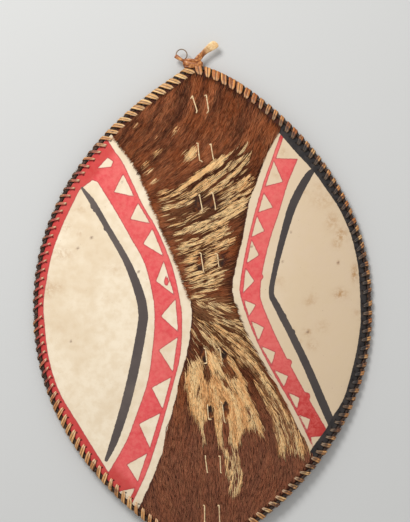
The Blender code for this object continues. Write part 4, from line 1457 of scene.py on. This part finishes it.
# Knot at the top point, with its spoon-shaped end, its cut stub and the hanging loop
knot = {
    "halfWidth": 0.0205,
    "halfLength": 0.0093,
    "clear": 0.0008,
    "rise": 0.0015,
    "strands": 3,
    "strandRadius": 0.0042,
    "strandHeights": (0.0024, 0.0036, 0.0028),
    "strandBreadths": (0.9, 1.55, 0.8),
    "tabLength": 0.054,
    "tabTurn": 44.0,
    "tabWidths": [(0.0, 0.0062), (0.2, 0.0058), (0.38, 0.0050), (0.52, 0.0058), (0.68, 0.0074),
                  (0.84, 0.0084), (0.94, 0.0076), (0.99, 0.0050), (1.0, 0.0012)],
    "tabThick": 0.0017,
    "stubLength": 0.026,
    "stubRadius": 0.0033,
    "stubTurn": 149.0,
    "loopRadius": 0.0102,
    "loopLift": 0.0082,
    "loopFromEnd": 0.0095,
    "loopWire": 0.0006,
    # the light end of this ramp is partly the thong's own mottling and partly painted highlight
    "colours": [(0.32, srgb(96, 50, 22)), (0.52, srgb(168, 98, 46)), (0.72, srgb(230, 172, 106))],
    "paleColours": (srgb(226, 178, 118), srgb(250, 222, 170)),  # towards the tab's end
    "gutColours": [(0.3, srgb(98, 76, 58)), (0.7, srgb(176, 150, 122))],
}


def makeBand(material, centre):
    turn = np.linspace(0, math.tau, 72, endpoint=False)
    corner = np.linspace(0, math.tau, 12, endpoint=False)
    points = []
    faces = []
    for index in range(knot["strands"]):
        aside = (index - (knot["strands"] - 1) / 2) * knot["strandRadius"] * 1.35
        halfX = (knot["halfWidth"] - knot["strandRadius"]) * (1 - 0.10 * abs(index - 1))
        halfZ = knot["strandHeights"][index]
        broad = knot["strandBreadths"][index]
        sway = 0.0012 * np.sin(turn * 2 + index * 2.1)
        line = np.stack([
            halfX * np.sign(np.cos(turn)) * np.abs(np.cos(turn)) ** 0.8,
            aside + sway - 0.10 * halfX * np.cos(turn),
            halfZ * np.sin(turn),
        ], -1)
        tangent = unit(np.roll(line, -1, 0) - np.roll(line, 1, 0))
        flat = unit(np.cross(tangent, np.array([0.0, 1.0, 0.0])))
        across = np.cross(flat, tangent)
        thick = knot["strandRadius"] * (0.78 + 0.06 * np.sin(corner * 3 + index))
        rings = ringsAcross(line, flat[:, None], across[:, None], np.cos(corner) * thick * 0.9,
                            np.sin(corner) * thick * broad)
        faces += tubeFaces(len(turn), len(corner), True, sum(len(part) for part in points))
        points.append((rings + centre).reshape(-1, 3))
    band = makePiece("knot_band", np.concatenate(points), faces, material, ["top_knot"])
    setNormalsOut(band)
    addAttribute(band, "pale", np.zeros(len(band.data.vertices)))


def makeTab(material, centre):
    angle = math.radians(knot["tabTurn"])
    ahead = np.array([math.cos(angle), math.sin(angle), 0.0])
    aside = np.array([-math.sin(angle), math.cos(angle), 0.0])
    root = centre + np.array([knot["halfWidth"] * 0.25, knot["halfLength"] * 0.35, 0.0])
    share = np.concatenate([np.linspace(0, 0.9, 34), np.linspace(0.92, 1.0, 9)])
    stops = np.array(knot["tabWidths"])
    wide = np.interp(share, stops[:, 0], stops[:, 1])
    wide[1:-1] = (wide[:-2] + 2 * wide[1:-1] + wide[2:]) / 4
    bend = 0.0022 * np.sin(share * math.pi * 1.2) - 0.0006 * share
    rise = 0.0026 * np.sin(share * 2.6) + 0.001
    line = root + ahead * (share * knot["tabLength"])[:, None] + aside * bend[:, None]
    line = line + np.array([0.0, 0.0, 1.0]) * rise[:, None]
    twist = 0.35 * np.sin(share * 3.0)
    flat = aside * np.cos(twist)[:, None] + np.array([0.0, 0.0, 1.0]) * np.sin(twist)[:, None]
    normal = np.cross(ahead, flat)
    corner = np.linspace(0, math.tau, 16, endpoint=False)
    thick = knot["tabThick"] * (1.35 - 0.55 * share) * np.clip((1.004 - share) / 0.05, 0.25, 1) ** 0.5
    fold = 0.16 * np.cos(corner * 2)
    rings = ringsAcross(line, flat[:, None], normal[:, None], np.cos(corner) * wide[:, None],
                        (np.sin(corner) + fold) * thick[:, None])
    tab = makeTube("knot_tab", rings, material)
    addAttribute(tab, "pale", np.repeat(share, len(corner)))


def makeStub(material, gut, centre):
    angle = math.radians(knot["stubTurn"])
    ahead = np.array([math.cos(angle), math.sin(angle), 0.0])
    aside = np.array([math.sin(angle), -math.cos(angle), 0.0])
    root = centre + np.array([-knot["halfWidth"] * 0.55, knot["halfLength"] * 0.2, 0.0])
    share = np.linspace(0, 1, 30)
    line = root + ahead * (share * knot["stubLength"])[:, None]
    line = line + np.array([0.0, 0.0, 0.0012]) * np.sin(share * 3)[:, None]
    corner = np.linspace(0, math.tau, 16, endpoint=False)
    ripple = 1 + 0.16 * np.cos(corner[None, :] * 2 + share[:, None] * 7) + 0.05 * np.cos(corner * 5)
    radii = knot["stubRadius"] * ripple * np.where(share > 0.97, 0.8, 1.0)[:, None]
    across = np.array([0.0, 0.0, 1.0])
    rings = ringsAcross(line, aside, across, np.cos(corner) * radii, np.sin(corner) * radii * 0.85)
    stub = makeTube("knot_stub", rings, material)
    addAttribute(stub, "pale", np.repeat(share * 0.15, len(corner)))
    middle = root + ahead * (knot["stubLength"] - knot["loopFromEnd"]) + aside * knot["loopLift"]
    makeLoop(gut, middle, angle + math.pi / 2)


# The ring of two gut plies stands open at the stub
def makeLoop(gut, middle, toStub):
    around = np.linspace(toStub + 0.9, toStub + math.tau - 0.9, 90)
    strands = []
    faces = []
    corner = np.linspace(0, math.tau, 6, endpoint=False)[None, :]
    for index, ply in enumerate((0, math.pi)):
        twist = around * 14 + ply
        radius = knot["loopRadius"] + knot["loopWire"] * np.cos(twist)
        line = middle + np.stack([np.cos(around) * radius, np.sin(around) * radius,
                                  knot["loopWire"] * np.sin(twist)], -1)
        strands.append(ringsAlong(line, knot["loopWire"], corner).reshape(-1, 3))
        faces += tubeFaces(len(line), 6, False, index * len(strands[0]))
    loop = makePiece("gut_loop", np.concatenate(strands), faces, gut, ["hanging_loop"])
    setNormalsOut(loop)


def makeKnot(material, gut):
    reach = shield["edgeReach"] + knot["clear"] + knot["halfLength"]
    centre = rimPoint(np.array(0.0), reach, knot["rise"])
    makeBand(material, centre)
    makeTab(material, centre)
    makeStub(material, gut, centre)
    print("knot, tab, stub and loop")


def knotMaterial():
    material, tree, shader = newMaterial("knot thong", 0.45)
    fine = noiseNode(tree, 190.0, 4.0)
    # random light patches: partly the thong's own mottling, partly painted highlight
    brown = rampNode(tree, fine, knot["colours"])
    pale = mixNode(tree, rangeNode(tree, fine, 0.3, 0.7), *knot["paleColours"])
    colour = mixNode(tree, rangeNode(tree, attributeNode(tree, "pale"), 0.35, 0.8), brown, pale)
    tree.links.new(colour, shader.inputs["Base Color"])
    bumpNode(tree, shader, fine, 0.35, 0.0008)
    return material


def gutMaterial():
    material, tree, shader = newMaterial("loop gut", 0.5)
    fine = noiseNode(tree, 400.0, 3.0)
    colour = rampNode(tree, fine, knot["gutColours"])
    tree.links.new(colour, shader.inputs["Base Color"])
    return material


studio = {
    "cameraX": 0.0047,
    "cameraY": 0.0672,
    "cameraHeight": 3.212,
    "lens": 117.4,
    "floorColour": srgb(205, 205, 203),
    "worldStrength": 0.55,
    "keyEnergy": 76.0,
    "keySize": 1.1,
    "keyPlace": (-1.1, 2.0, 2.4),
    "floorReach": 6.0,
}


def makeStudio():
    floorMesh = bpy.data.meshes.new("floor")
    reach = studio["floorReach"]
    corners = [(-reach, -reach, 0), (reach, -reach, 0), (reach, reach, 0), (-reach, reach, 0)]
    floorMesh.from_pydata(corners, [], [(0, 1, 2, 3)])
    floor = bpy.data.objects.new("floor", floorMesh)
    bpy.context.scene.collection.objects.link(floor)
    material, _, shader = newMaterial("floor", 0.9)
    shader.inputs["Base Color"].default_value = studio["floorColour"]
    floorMesh.materials.append(material)

    world = bpy.data.worlds.new("studio")
    world.use_nodes = True
    world.node_tree.nodes["Background"].inputs["Color"].default_value = (1, 1, 1, 1)
    world.node_tree.nodes["Background"].inputs["Strength"].default_value = studio["worldStrength"]
    bpy.context.scene.world = world

    key = bpy.data.lights.new("key", "AREA")
    key.energy = studio["keyEnergy"]
    key.size = studio["keySize"]
    keyObject = bpy.data.objects.new("key", key)
    bpy.context.scene.collection.objects.link(keyObject)
    keyObject.location = studio["keyPlace"]
    aim = Vector((0.0, 0.0, 0.0)) - keyObject.location
    keyObject.rotation_euler = aim.to_track_quat("-Z", "Y").to_euler()

    camera = bpy.data.cameras.new("camera")
    camera.lens = studio["lens"]
    cameraObject = bpy.data.objects.new("camera", camera)
    bpy.context.scene.collection.objects.link(cameraObject)
    cameraObject.location = (studio["cameraX"], studio["cameraY"], studio["cameraHeight"])
    bpy.context.scene.camera = cameraObject
    bpy.context.scene.view_settings.view_transform = "Standard"
    print("studio")


makeStudio()
makeHide(paintedHide(), rawHide())
makeLacing(laceMaterial())
makeRoll(rollMaterial())
makeFur(furMaterial())
makeStave(woodMaterial())
makeWinding(windingMaterial())
makeTies(tieMaterial())
makeKnot(knotMaterial(), gutMaterial())
